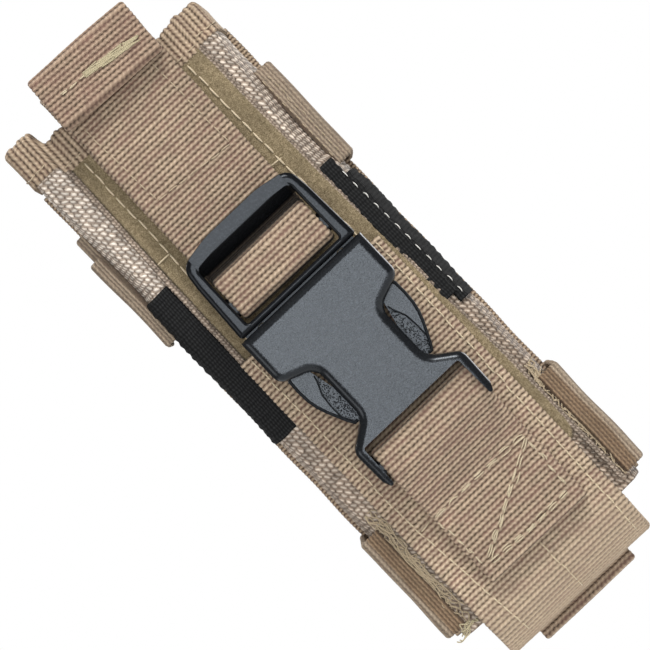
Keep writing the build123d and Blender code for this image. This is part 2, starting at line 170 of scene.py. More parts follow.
def web(name, path, half, t, side, plane="yz", xc=0.0, rib=1.04, amp=0.2, col=0.56, phases=(0, 0.25, 0.5, 0.75),
        mat=None, body="pocket", wav=0.12, seed=1, shift=None, xf=None, back_col=2.0, width=None, sag=None):
    """Ribbed woven strap along a path, with beaded ribs in relief and rounded selvedges."""
    _, _, _, L = path2d(path, 1.0)
    n_r = max(1, int(round(L / rib)))
    pitch = L / n_r
    ph = np.asarray(phases, float)
    v = (np.arange(n_r)[:, None] + ph[None, :]).ravel()
    v = np.append(v, n_r)
    P, T, s, L = path2d(path, at=v * pitch)
    N = side * np.stack([-T[:, 1], T[:, 0]], 1)
    frac = v - np.floor(v + 1e-9)
    idx = np.floor(v + 1e-9).astype(int)
    r = np.abs(np.sin(math.pi * frac)) ** 0.75
    R = len(v)
    e = t * 0.5
    nc = int(round(2 * (half - e) / col)) + 1
    c0 = np.linspace(-(half - e), half - e, nc)
    j = np.arange(nc)
    par = ((j[None, :] + idx[:, None]) % 2 == 0).astype(float)
    jit = 1 + 0.10 * np.random.default_rng(seed + 50).standard_normal((R, nc)).clip(-2, 2) * 0.6
    h = amp * r[:, None] * (0.84 + 0.16 * par) * jit
    wid = np.ones(R) if width is None else np.asarray([width(x) for x in s])
    wob = 0.09 * wave(s, s * 0, seed + 9, 9.0) + 0.05 * r
    # outer columns
    C_out = c0[None, :] * wid[:, None] + 0 * h
    H_out = t / 2 - amp * 0.55 + h
    ang = np.radians([55, 18, -18, -55])
    er = 0.86 + 0.2 * r
    C_r = (half - e) * wid[:, None] + (e * np.cos(ang)[None, :]) * er[:, None] + wob[:, None]
    H_r = (e * np.sin(ang))[None, :] * np.ones((R, 1))
    nb = max(3, int(round(2 * (half - e) / back_col)) + 1)
    c1 = np.linspace(half - e, -(half - e), nb)
    C_in = c1[None, :] * wid[:, None] + np.zeros((R, nb))
    H_in = -t / 2 + 0.35 * amp * (1 - r[:, None]) + np.zeros((R, nb))
    C_l = -((half - e) * wid[:, None] + (e * np.cos(ang[::-1])[None, :]) * er[:, None] + wob[:, None])
    H_l = (e * np.sin(ang[::-1]))[None, :] * np.ones((R, 1))
    C = np.concatenate([C_out, C_r, C_in, C_l], 1)
    H = np.concatenate([H_out, H_r, H_in, H_l], 1)
    uu = np.concatenate([j * 0.5, (nc - 1) * 0.5 + np.array([0.3, 0.6, 0.9, 1.2]),
                         np.linspace((nc - 1) * 0.5, 0, nb), -np.array([1.2, 0.9, 0.6, 0.3])])
    K = C.shape[1]
    H = H + wav * wave(C, np.repeat(s[:, None], K, 1), seed, 24.0)
    if sag is not None:
        H = H + sag(C, np.repeat(s[:, None], K, 1), L)
    U = P[:, None, 0] + N[:, None, 0] * H
    V = P[:, None, 1] + N[:, None, 1] * H
    X = C
    if shift is not None:
        X = C + np.asarray([shift(a, b) for a, b in P])[:, None]
    if plane == "yz":
        co = np.stack([X + xc, U, V], -1)
    else:
        co = np.stack([U, V, X + xc], -1)
    co = co.reshape(-1, 3)
    if xf is not None:
        co = xf(co)
    uv = np.stack([np.repeat(uu[None, :], R, 0), np.repeat(v[:, None], K, 1)], -1).reshape(-1, 2)
    return make(name, co, ring_faces(R, K), uv, mat, body)


def tubes(name, lines, mat, body="pocket", sides=6):
    """Several thin threads in one mesh. lines: [(points (n,3), radii)]."""
    cos, faces, uvs, off = [], [], [], 0
    for pts, rad in lines:
        pts = np.asarray(pts, float)
        n = len(pts)
        rad = np.broadcast_to(np.asarray(rad, float), (n,))
        T = unit(np.gradient(pts, axis=0))
        ref = np.array([0.13, -0.97, 0.2])
        A = unit(np.cross(T, ref))
        B = np.cross(T, A)
        th = np.linspace(0, 2 * math.pi, sides, endpoint=False)
        ring = pts[:, None, :] + rad[:, None, None] * (np.cos(th)[None, :, None] * A[:, None, :] + np.sin(th)[None, :, None] * B[:, None, :])
        cos.append(ring.reshape(-1, 3))
        s = np.concatenate([[0], np.cumsum(np.linalg.norm(np.diff(pts, axis=0), axis=1))])
        uvs.append(np.stack([np.repeat(th[None, :] / (2 * math.pi), n, 0), np.repeat(s[:, None], sides, 1)], -1).reshape(-1, 2))
        for f in ring_faces(n, sides):
            faces.append(f + off)
        off += n * sides
    return make(name, np.concatenate(cos), faces, np.concatenate(uvs), mat, body)


def resample(pts, ds):
    pts = np.asarray(pts, float)
    s = np.concatenate([[0], np.cumsum(np.linalg.norm(np.diff(pts, axis=0), axis=1))])
    n = max(2, int(round(s[-1] / ds)) + 1)
    a = np.linspace(0, s[-1], n)
    return np.stack([np.interp(a, s, pts[:, i]) for i in range(3)], 1), a


def stitch_lines(pts, nrm=(0, -1, 0), pitch=3.0, gap=0.55, dia=0.42, lift=0.1, seed=3, jitter=0.07):
    """Running stitch: short slack lengths of thread that dip into the cloth at each end."""
    g = np.random.default_rng(seed)
    pts = np.asarray(pts, float)
    s = np.concatenate([[0], np.cumsum(np.linalg.norm(np.diff(pts, axis=0), axis=1))])
    L = s[-1]
    nrm = np.asarray(nrm, float)
    n = max(1, int(round(L / pitch)))
    p = L / n
    out = []
    prof = np.array([0, 0.1, 0.3, 0.5, 0.7, 0.9, 1.0])
    up = np.array([-0.3, 0.05, 0.95, 1.0, 0.95, 0.05, -0.3])
    for i in range(n):
        a = i * p + gap / 2 + g.normal(0, 0.05)
        b = (i + 1) * p - gap / 2 + g.normal(0, 0.05)
        q = a + (b - a) * prof
        base = np.stack([np.interp(q, s, pts[:, k]) for k in range(3)], 1)
        side = unit(np.cross(unit(pts[-1] - pts[0]), nrm))
        base = base + side * (g.normal(0, jitter) + g.normal(0, jitter) * np.sin(prof * math.pi))[:, None]
        base = base + nrm * (up * (lift + 0.1) + g.normal(0, 0.015))[:, None]
        rad = dia / 2 * np.array([0.5, 0.85, 1.0, 1.0, 1.0, 0.85, 0.5])
        out.append((base, rad))
    return out


def zigzag_lines(a, b, amp, pitch, nrm, dia=0.34, seed=5, lift=0.12, jit=0.1):
    """Dense zigzag bartack between two points."""
    g = np.random.default_rng(seed)
    a, b, nrm = np.asarray(a, float), np.asarray(b, float), unit(nrm)
    d = b - a
    L = np.linalg.norm(d)
    side = unit(np.cross(d, nrm))
    n = int(L / pitch)
    pts = []
    for i in range(n + 1):
        base = a + d * i / n
        s = 1 if i % 2 else -1
        pts.append(base + side * s * amp * (1 + g.normal(0, jit)) + nrm * (lift * 0.2) + unit(d) * g.normal(0, pitch * 0.15))
        if i < n:
            pts.append(base + d * 0.5 / n + nrm * (lift + 0.12 + abs(g.normal(0, 0.06))))
    pts = np.array(pts)
    q, _ = resample(pts, 0.3)
    k = np.array([0.25, 0.5, 0.25])
    for _ in range(1):
        q[1:-1] = k[0] * q[:-2] + k[1] * q[1:-1] + k[2] * q[2:]
    return [(q, dia / 2)]


# ------------------------------------------------------------------ materials
class Mat:
    """A small writer for node materials."""

    def __init__(s, name):
        s.m = bpy.data.materials.new(name)
        s.m.use_nodes = True
        s.t = s.m.node_tree
        s.t.nodes.clear()
        s.out = s.t.nodes.new("ShaderNodeOutputMaterial")
        s.p = s.t.nodes.new("ShaderNodeBsdfPrincipled")
        s.t.links.new(s.p.outputs[0], s.out.inputs[0])

    def put(s, sock, v):
        if hasattr(v, "is_linked") or hasattr(v, "links"):
            s.t.links.new(v, sock)
        else:
            sock.default_value = v

    def math(s, op, a, b=0.0, c=0.0, clamp=False):
        n = s.t.nodes.new("ShaderNodeMath")
        n.operation = op
        n.use_clamp = clamp
        for i, v in enumerate((a, b, c)):
            s.put(n.inputs[i], v)
        return n.outputs[0]

    def add(s, a, b):
        return s.math("ADD", a, b)

    def mul(s, a, b):
        return s.math("MULTIPLY", a, b)

    def sep(s, v):
        n = s.t.nodes.new("ShaderNodeSeparateXYZ")
        s.t.links.new(v, n.inputs[0])
        return n.outputs

    def comb(s, x, y, z=0.0):
        n = s.t.nodes.new("ShaderNodeCombineXYZ")
        for i, v in enumerate((x, y, z)):
            s.put(n.inputs[i], v)
        return n.outputs[0]

    def uv(s):
        n = s.t.nodes.new("ShaderNodeUVMap")
        n.uv_map = "UVMap"
        return n.outputs[0]

    def obj(s):
        return s.t.nodes.new("ShaderNodeTexCoord").outputs["Object"]

    def noise(s, vec, scale, detail=2.0, rough=0.5, dist=0.0):
        n = s.t.nodes.new("ShaderNodeTexNoise")
        s.t.links.new(vec, n.inputs["Vector"])
        n.inputs["Scale"].default_value = scale
        n.inputs["Detail"].default_value = detail
        n.inputs["Roughness"].default_value = rough
        n.inputs["Distortion"].default_value = dist
        return n.outputs["Fac"]

    def white(s, val):
        n = s.t.nodes.new("ShaderNodeTexWhiteNoise")
        n.noise_dimensions = "1D"
        s.put(n.inputs["W"], val)
        return n.outputs["Value"]

    def white2(s, vec):
        n = s.t.nodes.new("ShaderNodeTexWhiteNoise")
        n.noise_dimensions = "2D"
        s.put(n.inputs["Vector"], vec)
        return n.outputs["Value"]

    def ramp(s, fac, stops):
        n = s.t.nodes.new("ShaderNodeValToRGB")
        s.put(n.inputs[0], fac)
        el = n.color_ramp.elements
        while len(el) < len(stops):
            el.new(0.5)
        for e, (p, c) in zip(el, stops):
            e.position = p
            e.color = (*c, 1)
        return n.outputs[0]

    def mix(s, fac, a, b, mode="MIX"):
        n = s.t.nodes.new("ShaderNodeMix")
        n.data_type = "RGBA"
        n.blend_type = mode
        s.put(n.inputs["Factor"], fac)
        s.put(n.inputs[6], a if not isinstance(a, tuple) else (*a, 1))
        s.put(n.inputs[7], b if not isinstance(b, tuple) else (*b, 1))
        return n.outputs[2]

    def scale(s, col, k):
        """Multiplies a colour by a number socket."""
        n = s.t.nodes.new("ShaderNodeVectorMath")
        n.operation = "SCALE"
        s.put(n.inputs[0], col)
        s.put(n.inputs["Scale"], k)
        return n.outputs[0]

    def span(s, v, lo, hi):
        """0..1 to lo..hi."""
        return s.add(s.mul(v, hi - lo), lo)

    def bump(s, height, dist, strength=1.0, normal=None):
        n = s.t.nodes.new("ShaderNodeBump")
        n.inputs["Strength"].default_value = strength
        n.inputs["Distance"].default_value = dist
        s.t.links.new(height, n.inputs["Height"])
        if normal is not None:
            s.t.links.new(normal, n.inputs["Normal"])
        return n.outputs[0]

    def done(s, color, rough, bump=None, spec=0.4, sheen=0.0, sheen_rough=0.5, metal=0.0, coat=0.0, coat_rough=0.1):
        s.put(s.p.inputs["Base Color"], color if not isinstance(color, tuple) else (*color, 1))
        s.put(s.p.inputs["Roughness"], rough)
        s.p.inputs["Specular IOR Level"].default_value = spec
        s.p.inputs["Sheen Weight"].default_value = sheen
        s.p.inputs["Sheen Roughness"].default_value = sheen_rough
        s.p.inputs["Metallic"].default_value = metal
        s.p.inputs["Coat Weight"].default_value = coat
        s.p.inputs["Coat Roughness"].default_value = coat_rough
        if bump is not None:
            s.t.links.new(bump, s.p.inputs["Normal"])
        return s.m


# the darkest webbing colour is painted shade for the gaps between the ribs
RIB_GAP_SHADE = (0.046, 0.029, 0.019)
MIDDLE = (0.285, 0.206, 0.142)
LIGHT = (0.490, 0.380, 0.275)


def webbing_mat(name, groove=RIB_GAP_SHADE, middle=MIDDLE, light=LIGHT, pink=(0.200, 0.112, 0.086), pinkness=0.85, shade_inboard_x=None, inner=None, worn=None, shade_below_z=None, fibre=0.5):
    """Ribbed webbing. UV counts half beads across and ribs along."""
    k = Mat(name)
    u, v, _ = k.sep(k.uv())
    flow = k.noise(k.uv(), 0.9, 2.0)
    u1 = k.add(u, k.span(k.noise(k.comb(k.mul(u, 0.7), k.mul(v, 0.5), 3.0), 1.1, 2), -0.30, 0.30))
    # each rib snakes a little as the warp crosses it
    v1 = k.add(v, k.mul(k.math("SINE", k.mul(u1, 2 * math.pi)), 0.055))
    v1 = k.add(v1, k.span(k.noise(k.comb(k.mul(u, 0.5), k.mul(v, 0.8), 9.0), 1.0, 2), -0.10, 0.10))
    idx = k.math("FLOOR", v1)
    near = k.math("FLOOR", k.add(v1, 0.5))
    r = k.math("ABSOLUTE", k.math("SINE", k.mul(v1, math.pi)))
    ridge = k.math("POWER", r, 0.62)
    # dark lens-shaped gaps between ribs, staggered from one gap to the next: painted shade deep in the gaps
    lens = k.span(k.math("COSINE", k.mul(k.add(u1, k.mul(near, 0.5)), 2 * math.pi)), 0.5, 1.0)
    lens = k.math("POWER", k.math("MAXIMUM", lens, 0.0), 0.7)
    dark = k.mul(k.math("SUBTRACT", 1.0, ridge), k.span(lens, 0.50, 1.0))
    bead = k.span(k.math("COSINE", k.mul(k.add(u1, k.mul(idx, 0.5)), 2 * math.pi)), 0.5, 1.0)
    h = k.mul(k.math("SUBTRACT", 1.0, k.mul(dark, 1.15), clamp=True), k.span(bead, 0.90, 1.0))
    # colour follows the rib height, darkest in the gaps: painted shade between the ribs
    col = k.ramp(h, [(0.12, groove), (0.45, tuple(a * 0.5 + b * 0.5 for a, b in zip(groove, middle))),
                     (0.72, middle), (0.90, tuple(a * 0.55 + b * 0.45 for a, b in zip(middle, light))), (1.0, light)])
    # warm patches deep between the ribs
    patch = k.math("MULTIPLY", k.ramp(k.noise(k.comb(k.mul(u, 0.20), k.mul(v, 0.42)), 1.0, 3.0), [(0.42, (0, 0, 0)), (0.62, (1, 1, 1))]),
                   k.mul(k.math("SUBTRACT", 1.20, h), pinkness), clamp=True)
    col = k.mix(patch, col, pink)
    # single fibres along the strap, each bead and rib a little different
    fib = k.noise(k.comb(k.mul(u, 9.0), k.mul(v, 2.6)), 1.0, 3.0, 0.65)
    cell = k.white2(k.comb(k.math("FLOOR", k.add(u, k.mul(idx, 0.5))), idx))
    rib = k.white(idx)
    wide = k.noise(k.comb(k.mul(u, 0.07), k.mul(v, 0.055), 1.7), 1.0, 3.0)
    g = k.mul(k.span(fib, 1.0 - fibre, 1.0 + fibre), k.span(cell, 0.91, 1.09))
    g = k.mul(g, k.mul(k.span(rib, 0.94, 1.06), k.span(wide, 0.82, 1.18)))
    col = k.scale(col, g)
    if shade_inboard_x is not None:                                   # painted shade: darker zone on the front, inboard of the lit outer strip
        x, y, _z = k.sep(k.obj())
        out = k.math("MULTIPLY", k.add(k.math("ABSOLUTE", k.add(x, k.mul(k.span(wide, -1.0, 1.0), 0.0008))), -shade_inboard_x), 1 / 0.0005, clamp=True)
        rear = k.math("MULTIPLY", k.add(y, 0.0285), 1 / 0.001, clamp=True)
        col = k.mix(k.math("MAXIMUM", out, rear), k.mix(1.0, col, (0.66, 0.57, 0.48), "MULTIPLY"), col)
    if inner is not None:                                    # painted shade: black where it turns round the plastic bar, deeper than the front face
        y = k.sep(k.obj())[1]
        face = k.math("MULTIPLY", k.math("SUBTRACT", k.add(inner, k.mul(k.span(fib, -1.0, 1.0), 0.0003)), y), 1 / 0.0012, clamp=True)
        col = k.scale(col, k.span(face, 0.10, 1.0))
    if shade_below_z is not None:                                   # painted shade: black on the front run below this height, behind the buckle's frame
        _x, y, z = k.sep(k.obj())
        low = k.math("MULTIPLY", k.math("SUBTRACT", shade_below_z, z), 1 / 0.002, clamp=True)
        front = k.math("MULTIPLY", k.math("SUBTRACT", -0.030, y), 1 / 0.002, clamp=True)
        col = k.scale(col, k.span(k.mul(low, front), 1.0, 0.12))
    if worn is not None:                                     # flattened, paler ribs towards the bottom fold
        z = k.sep(k.obj())[2]
        low = k.math("MULTIPLY", k.math("SUBTRACT", worn, z), 1 / 0.014, clamp=True)
        flat = k.scale(k.mix(0.5, middle, light), k.mul(k.span(fib, 0.75, 1.25), k.span(rib, 0.94, 1.06)))
        col = k.mix(k.mul(low, 0.55), col, flat)
    b = k.bump(h, 0.00030, 0.8)
    b = k.bump(fib, 0.00010, 0.8, b)
    return k.done(col, k.span(flow, 0.68, 0.86), b, spec=0.22, sheen=0.06, sheen_rough=0.45)


def basket_mat(name, groove=(0.120, 0.086, 0.064), middle=(0.275, 0.212, 0.162), light=(0.64, 0.555, 0.468), lift=1.0, height_light_shade=False):
    """Coarse packed weave. UV counts cells; each cell shows one float that leans across it."""
    k = Mat(name)
    u, v, _ = k.sep(k.uv())
    w1 = k.noise(k.uv(), 0.55, 2.0)
    w2 = k.noise(k.comb(u, v, 5.0), 0.55, 2.0)
    fine = k.noise(k.comb(k.mul(u, 3.2), k.mul(v, 3.2), 2.0), 1.0, 3.0, 0.65)
    u1 = k.add(k.add(u, k.span(w1, -0.45, 0.45)), k.span(fine, -0.18, 0.18))
    v1 = k.add(k.add(v, k.span(w2, -0.45, 0.45)), k.span(fine, 0.18, -0.18))
    cell = k.white2(k.comb(k.math("FLOOR", u1), k.math("FLOOR", v1)))
    du, dv = k.add(k.math("FRACT", u1), -0.5), k.add(k.math("FRACT", v1), -0.5)
    al = k.mul(k.math("SUBTRACT", du, dv), 0.7071 / 0.74)
    ac = k.mul(k.add(k.add(du, dv), k.span(cell, -0.10, 0.10)), 0.7071 / 0.335)
    mark = k.math("SUBTRACT", 1.0, k.add(k.mul(al, al), k.mul(ac, ac)), clamp=True)
    mark = k.math("POWER", mark, 0.80)
    # the yarns that pass under, and the small holes at the corners of the cells
    cx = k.math("SUBTRACT", 0.5, k.math("ABSOLUTE", du))
    cy = k.math("SUBTRACT", 0.5, k.math("ABSOLUTE", dv))
    hole = k.math("SUBTRACT", 1.0, k.mul(k.add(k.mul(cx, cx), k.mul(cy, cy)), 1 / 0.085), clamp=True)
    low = k.math("SUBTRACT", k.span(k.noise(k.comb(k.mul(u, 2.2), k.mul(v, 2.2), 8.0), 1.0, 2.0), 0.22, 0.62), k.mul(hole, 0.42))
    h = k.math("MAXIMUM", mark, low)
    col = k.ramp(h, [(0.05, groove), (0.42, middle), (0.70, tuple(a * 0.5 + b * 0.5 for a, b in zip(middle, light))), (0.92, light)])
    fib = k.noise(k.comb(k.mul(k.math("SUBTRACT", u, v), 1.8), k.mul(k.add(u, v), 5.5)), 1.0, 4.0, 0.7)
    wide = k.noise(k.comb(k.mul(u, 0.12), k.mul(v, 0.06)), 1.0, 3.0)
    g = k.mul(k.mul(k.span(fib, 0.45, 1.55), k.span(cell, 0.70, 1.30)), k.span(wide, 0.78, 1.22))
    col = k.scale(col, g)
    if height_light_shade:                                               # painted light: lighter near the mouth; painted shade: darker lower down
        z = k.sep(k.obj())[2]
        level = k.math("MULTIPLY", k.add(z, 0.1085 - 0.050), 1 / 0.055, clamp=True)
        col = k.mix(level, k.mix(1.0, col, (0.88, 0.84, 0.80), "MULTIPLY"), k.mix(1.0, col, (1.24, 1.26, 1.28), "MULTIPLY"))
    b = k.bump(h, 0.00034, 0.8)
    b = k.bump(fib, 0.00012, 0.8, b)
    return k.done(col, k.span(wide, 0.50, 0.70), b, spec=0.35, sheen=0.05, sheen_rough=0.4)


def pile_mat(name, dark, mid, light, scale=1.0, sheen=0.35):
    """Brushed loop pile: UV in mm."""
    k = Mat(name)
    uv = k.uv()
    u, v, _ = k.sep(uv)
    a = k.noise(uv, 1.3 * scale, 4.0, 0.70)
    b_ = k.noise(uv, 4.2 * scale, 3.0, 0.80)
    wide = k.noise(k.comb(k.mul(u, 0.30), k.mul(v, 0.10)), 1.0, 3.0)
    h = k.add(k.mul(a, 0.35), k.mul(b_, 0.65))
    col = k.ramp(h, [(0.41, dark), (0.50, mid), (0.59, light)])
    col = k.scale(col, k.span(k.ramp(wide, [(0.32, (0, 0, 0)), (0.68, (1, 1, 1))]), 0.84, 1.16))
    n = k.bump(b_, 0.00026, 0.9)
    n = k.bump(a, 0.00014, 0.5, n)
    return k.done(col, 0.92, n, spec=0.15, sheen=sheen, sheen_rough=0.35)


def elastic_mat(name, base=(0.0115, 0.0115, 0.0115)):
    k = Mat(name)
    uv = k.uv()
    u, v, _ = k.sep(uv)
    nz = k.noise(uv, 1.4, 2.0)
    ribs = k.math("ABSOLUTE", k.math("SINE", k.mul(k.add(u, k.span(nz, -0.12, 0.12)), math.pi / 0.62)))
    purl = k.math("ABSOLUTE", k.math("SINE", k.mul(k.add(v, k.span(nz, -0.2, 0.2)), math.pi / 0.85)))
    fuzz = k.noise(uv, 7.0, 3.0, 0.6)
    h = k.add(k.add(k.mul(ribs, 0.45), k.mul(purl, 0.3)), k.mul(fuzz, 0.35))
    col = k.ramp(h, [(0.25, tuple(c * 0.35 for c in base)), (0.7, base), (1.0, tuple(c * 2.3 for c in base))])
    n = k.bump(h, 0.00022, 0.9)
    return k.done(col, 0.88, n, spec=0.14)


def plastic_mat(name, base=(0.0070, 0.0076, 0.0086), grain=1.4, spec=0.34, lo=0.22, hi=0.34, speckle=6.5):
    """Moulded plastic: the flat faces are finely grained, the bevels are smooth."""
    k = Mat(name)
    tc = k.t.nodes.new("ShaderNodeTexCoord")
    o = tc.outputs["Object"]
    ny = k.math("ABSOLUTE", k.sep(tc.outputs["Normal"])[1])
    flat = k.math("MULTIPLY", k.add(ny, -0.955), 1 / 0.035, clamp=True)
    g1 = k.noise(o, 2600.0, 4.0, 0.75)
    g2 = k.noise(o, 500.0, 2.0, 0.5)
    wear = k.noise(o, 160.0, 4.0, 0.6)
    speck = k.mul(k.ramp(g1, [(0.46, (0, 0, 0)), (0.64, (1, 1, 1))]), k.span(flat, 0.12, 1.0))
    col = k.mix(speck, base, tuple(c * speckle for c in base))
    col = k.scale(col, k.span(wear, 0.82, 1.2))
    n = k.bump(k.mul(g1, flat), 0.00004 * grain, 0.8)
    n = k.bump(g2, 0.00002 * grain, 0.5, n)
    k.p.inputs["Specular Tint"].default_value = (0.88, 0.94, 1.0, 1)
    return k.done(col, k.span(k.add(k.mul(wear, 0.3), k.mul(speck, 0.7)), lo, hi), n, spec=spec)


def thread_mat(name, col, dark):
    k = Mat(name)
    u, v, _ = k.sep(k.uv())
    ply = k.math("ABSOLUTE", k.math("SINE", k.add(k.mul(v, 7.5), k.mul(u, 2 * math.pi))))
    nz = k.noise(k.comb(k.mul(u, 3.0), v), 2.3, 3.0)
    c = k.ramp(k.add(k.mul(ply, 0.55), k.mul(nz, 0.45)), [(0.15, dark), (0.6, col), (1.0, tuple(min(1, x * 1.18) for x in col))])
    n = k.bump(ply, 0.00006, 0.6)
    return k.done(c, 0.5, n, spec=0.4, sheen=0.1)


def metal_mat(name):
    k = Mat(name)
    o = k.obj()
    a = k.noise(o, 900.0, 3.0)
    b_ = k.noise(o, 240.0, 4.0, 0.6)
    col = k.ramp(b_, [(0.35, (0.23, 0.17, 0.09)), (0.6, (0.42, 0.33, 0.19)), (0.85, (0.55, 0.45, 0.29))])
    return k.done(col, k.span(a, 0.24, 0.46), k.bump(a, 0.00002, 0.3), spec=0.5, metal=1.0)


def enamel_mat(name):
    k = Mat(name)
    o = k.obj()
    a = k.noise(o, 1300.0, 3.0)
    b_ = k.noise(o, 260.0, 5.0, 0.65)
    chip = k.ramp(b_, [(0.66, (0, 0, 0)), (0.70, (1, 1, 1))])
    col = k.mix(chip, (0.030, 0.028, 0.026), (0.16, 0.13, 0.09))
    return k.done(col, k.span(b_, 0.28, 0.5), k.bump(a, 0.00003, 0.4), spec=0.5, coat=0.2)


def sheet_mat(name, base=(0.34, 0.35, 0.36)):
    k = Mat(name)
    o = k.obj()
    a = k.noise(o, 1800.0, 2.0)
    b_ = k.noise(o, 90.0, 3.0)
    col = k.scale(k.ramp(a, [(0.3, tuple(c * 0.8 for c in base)), (0.7, base)]), k.span(b_, 0.85, 1.12))
    return k.done(col, k.span(a, 0.42, 0.6), k.bump(a, 0.00003, 0.5), spec=0.45)


def hook_mat(name):
    k = Mat(name)
    uv = k.uv()
    u, v, _ = k.sep(uv)
    a = k.math("ABSOLUTE", k.math("SINE", k.mul(u, math.pi / 0.75)))
    b_ = k.math("ABSOLUTE", k.math("SINE", k.mul(v, math.pi / 0.9)))
    nz = k.noise(uv, 3.0, 3.0)
    h = k.mul(k.mul(a, b_), k.span(nz, 0.6, 1.0))
    col = k.ramp(h, [(0.05, (0.006, 0.006, 0.007)), (0.45, (0.018, 0.018, 0.019)), (0.9, (0.075, 0.075, 0.078))])
    return k.done(col, 0.45, k.bump(h, 0.0003, 0.9), spec=0.4)


M_WEB = webbing_mat("webbing", middle=(0.265, 0.190, 0.128), light=(0.465, 0.358, 0.255))
M_WRAP = webbing_mat("webbing_wide", middle=(0.320, 0.236, 0.158), light=(0.560, 0.438, 0.312), worn=-0.0925)
# strap: painted shade on its front run below the buckle's top bar, behind the frame
M_STRAP = webbing_mat("webbing_strap", middle=(0.265, 0.190, 0.128), light=(0.465, 0.358, 0.255), shade_below_z=-0.0055)
# ladder webbing: painted shade where it runs deeper than its front face, round the bar
M_LADDER = webbing_mat("webbing_ladder", middle=(0.265, 0.190, 0.128), light=(0.465, 0.358, 0.255), inner=-0.0448)
M_TAB = webbing_mat("webbing_tab", middle=(0.255, 0.175, 0.120), light=(0.430, 0.315, 0.225), pinkness=0.9)
M_BAND = webbing_mat("webbing_bands", groove=(0.185, 0.140, 0.100), pinkness=0.25, middle=(0.225, 0.170, 0.120), light=(0.330, 0.260, 0.186), fibre=0.95)
# lower bands: painted shade on their fronts, inboard of the outer strips
M_BAND_LOW = webbing_mat("webbing_bands_low", groove=(0.185, 0.140, 0.100), pinkness=0.25, middle=(0.245, 0.185, 0.130), light=(0.375, 0.296, 0.212), shade_inboard_x=0.0252, fibre=0.95)
M_BIND = webbing_mat("grosgrain", pinkness=0.4, middle=(0.275, 0.198, 0.132), light=(0.50, 0.385, 0.27))
# gusset weave with painted light towards the mouth and painted shade lower down
M_BASKET = basket_mat("nylon_basket", height_light_shade=True)
# right gusset: a darker copy of the gusset weave, painted shade
M_BASKET_R_SHADE = basket_mat("nylon_basket_open_shaded", groove=(0.050, 0.035, 0.026), middle=(0.215, 0.160, 0.118), light=(0.55, 0.465, 0.380), height_light_shade=True)
# seam rolls: a darker copy of the weave, painted shade beside the tape
M_EDGE_SHADE = basket_mat("nylon_edge_shaded", groove=(0.09, 0.062, 0.044), middle=(0.195, 0.145, 0.105), light=(0.40, 0.32, 0.25))
M_CLOTH = basket_mat("nylon_body", groove=(0.11, 0.080, 0.052), middle=(0.215, 0.160, 0.108), light=(0.34, 0.265, 0.185))
M_LOOP = pile_mat("loop_tape", (0.110, 0.080, 0.044), (0.212, 0.163, 0.094), (0.350, 0.276, 0.172), sheen=0.12)
M_ELASTIC = elastic_mat("elastic_black")
M_PLASTIC = plastic_mat("buckle_plastic")
M_PLASTIC_MALE = plastic_mat("buckle_plastic_frame", base=(0.0052, 0.0056, 0.0064), grain=0.6, spec=0.15, lo=0.20, hi=0.30, speckle=5.0)
M_THREAD = thread_mat("thread_cream", (0.60, 0.49, 0.33), (0.26, 0.19, 0.11))
M_LOOSE = thread_mat("thread_worn", (0.52, 0.43, 0.29), (0.25, 0.19, 0.12))
M_PALE = thread_mat("thread_pale", (0.46, 0.36, 0.24), (0.22, 0.165, 0.10))
M_WHITE = thread_mat("thread_white", (0.72, 0.70, 0.64), (0.40, 0.38, 0.33))
M_TACK = thread_mat("thread_yellow", (0.43, 0.365, 0.225), (0.22, 0.175, 0.10))
M_FRAY = thread_mat("thread_tan", (0.43, 0.335, 0.215), (0.19, 0.14, 0.085))
M_METAL = metal_mat("snap_metal")
M_ENAMEL = enamel_mat("snap_cap")
M_SHEET = sheet_mat("stiffener_sheet")
M_HOOK = hook_mat("hook_tape")

for name, mat in (("buckle_female", M_PLASTIC), ("buckle_male", M_PLASTIC_MALE), ("latch_arm_left", M_PLASTIC), ("latch_arm_right", M_PLASTIC),
                  ("snap_stud", M_METAL), ("snap_socket", M_METAL), ("snap_cap", M_ENAMEL),
                  ("back_stiffener", M_SHEET), ("molle_stiffener", M_SHEET)):
    ob = NODE[name]
    if not ob.material_slots:
        ob.data.materials.append(mat)
    for ms in ob.material_slots:
        ms.material = mat


# ------------------------------------------------------------------ rims and stippled recess of the latch arms
M_RIM = plastic_mat("plastic_rim", base=(0.0040, 0.0044, 0.0050), grain=0.3, spec=0.16, lo=0.34, hi=0.5, speckle=1.5)
ARM_Y = -45.2
for side, tag in ((-1, "left"), (1, "right")):
    body = "latch_" + tag
    lines = []
    rim, _ = resample([(side * x, ARM_Y + 0.06, z) for x, z in ((12.3, 74.0), (13.85, 72.5), (14.25, 71.2), (14.35, 68.8), (14.2, 66.2), (13.75, 64.0),
                                                                (13.0, 62.0), (12.1, 60.0), (11.2, 58.1), (10.4, 56.7), (9.6, 56.9))], 0.4)
    lines.append((rim, 0.33))
    step, _ = resample([(side * x, ARM_Y + 0.02, z) for x, z in ((9.95, 69.0), (10.35, 67.6), (11.4, 65.2), (11.65, 62.4), (11.62, 59.6), (11.3, 58.4))], 0.35)
    lines.append((step, 0.17))
    tubes("latch_rim_" + tag, lines, M_RIM, body)
    g_ = np.random.default_rng(150 + side)
    lines = []
    while len(lines) < 190:
        x_, z_ = g_.uniform(8.9, 11.3), g_.uniform(57.2, 68.6)
        if x_ < np.interp(z_, [57.2, 64.0, 68.6], [9.0, 9.0, 9.7]) or x_ > np.interp(z_, [57.2, 59.6, 65.1, 68.6], [11.0, 11.25, 11.05, 9.9]):
            continue
        lines.append((np.array([[side * x_, ARM_Y + 1.14, z_], [side * x_, ARM_Y + 1.04, z_], [side * x_, ARM_Y + 1.00, z_]]), np.array([0.16, 0.12, 0.03])))
    tubes("latch_stipple_" + tag, lines, M_PLASTIC, body)


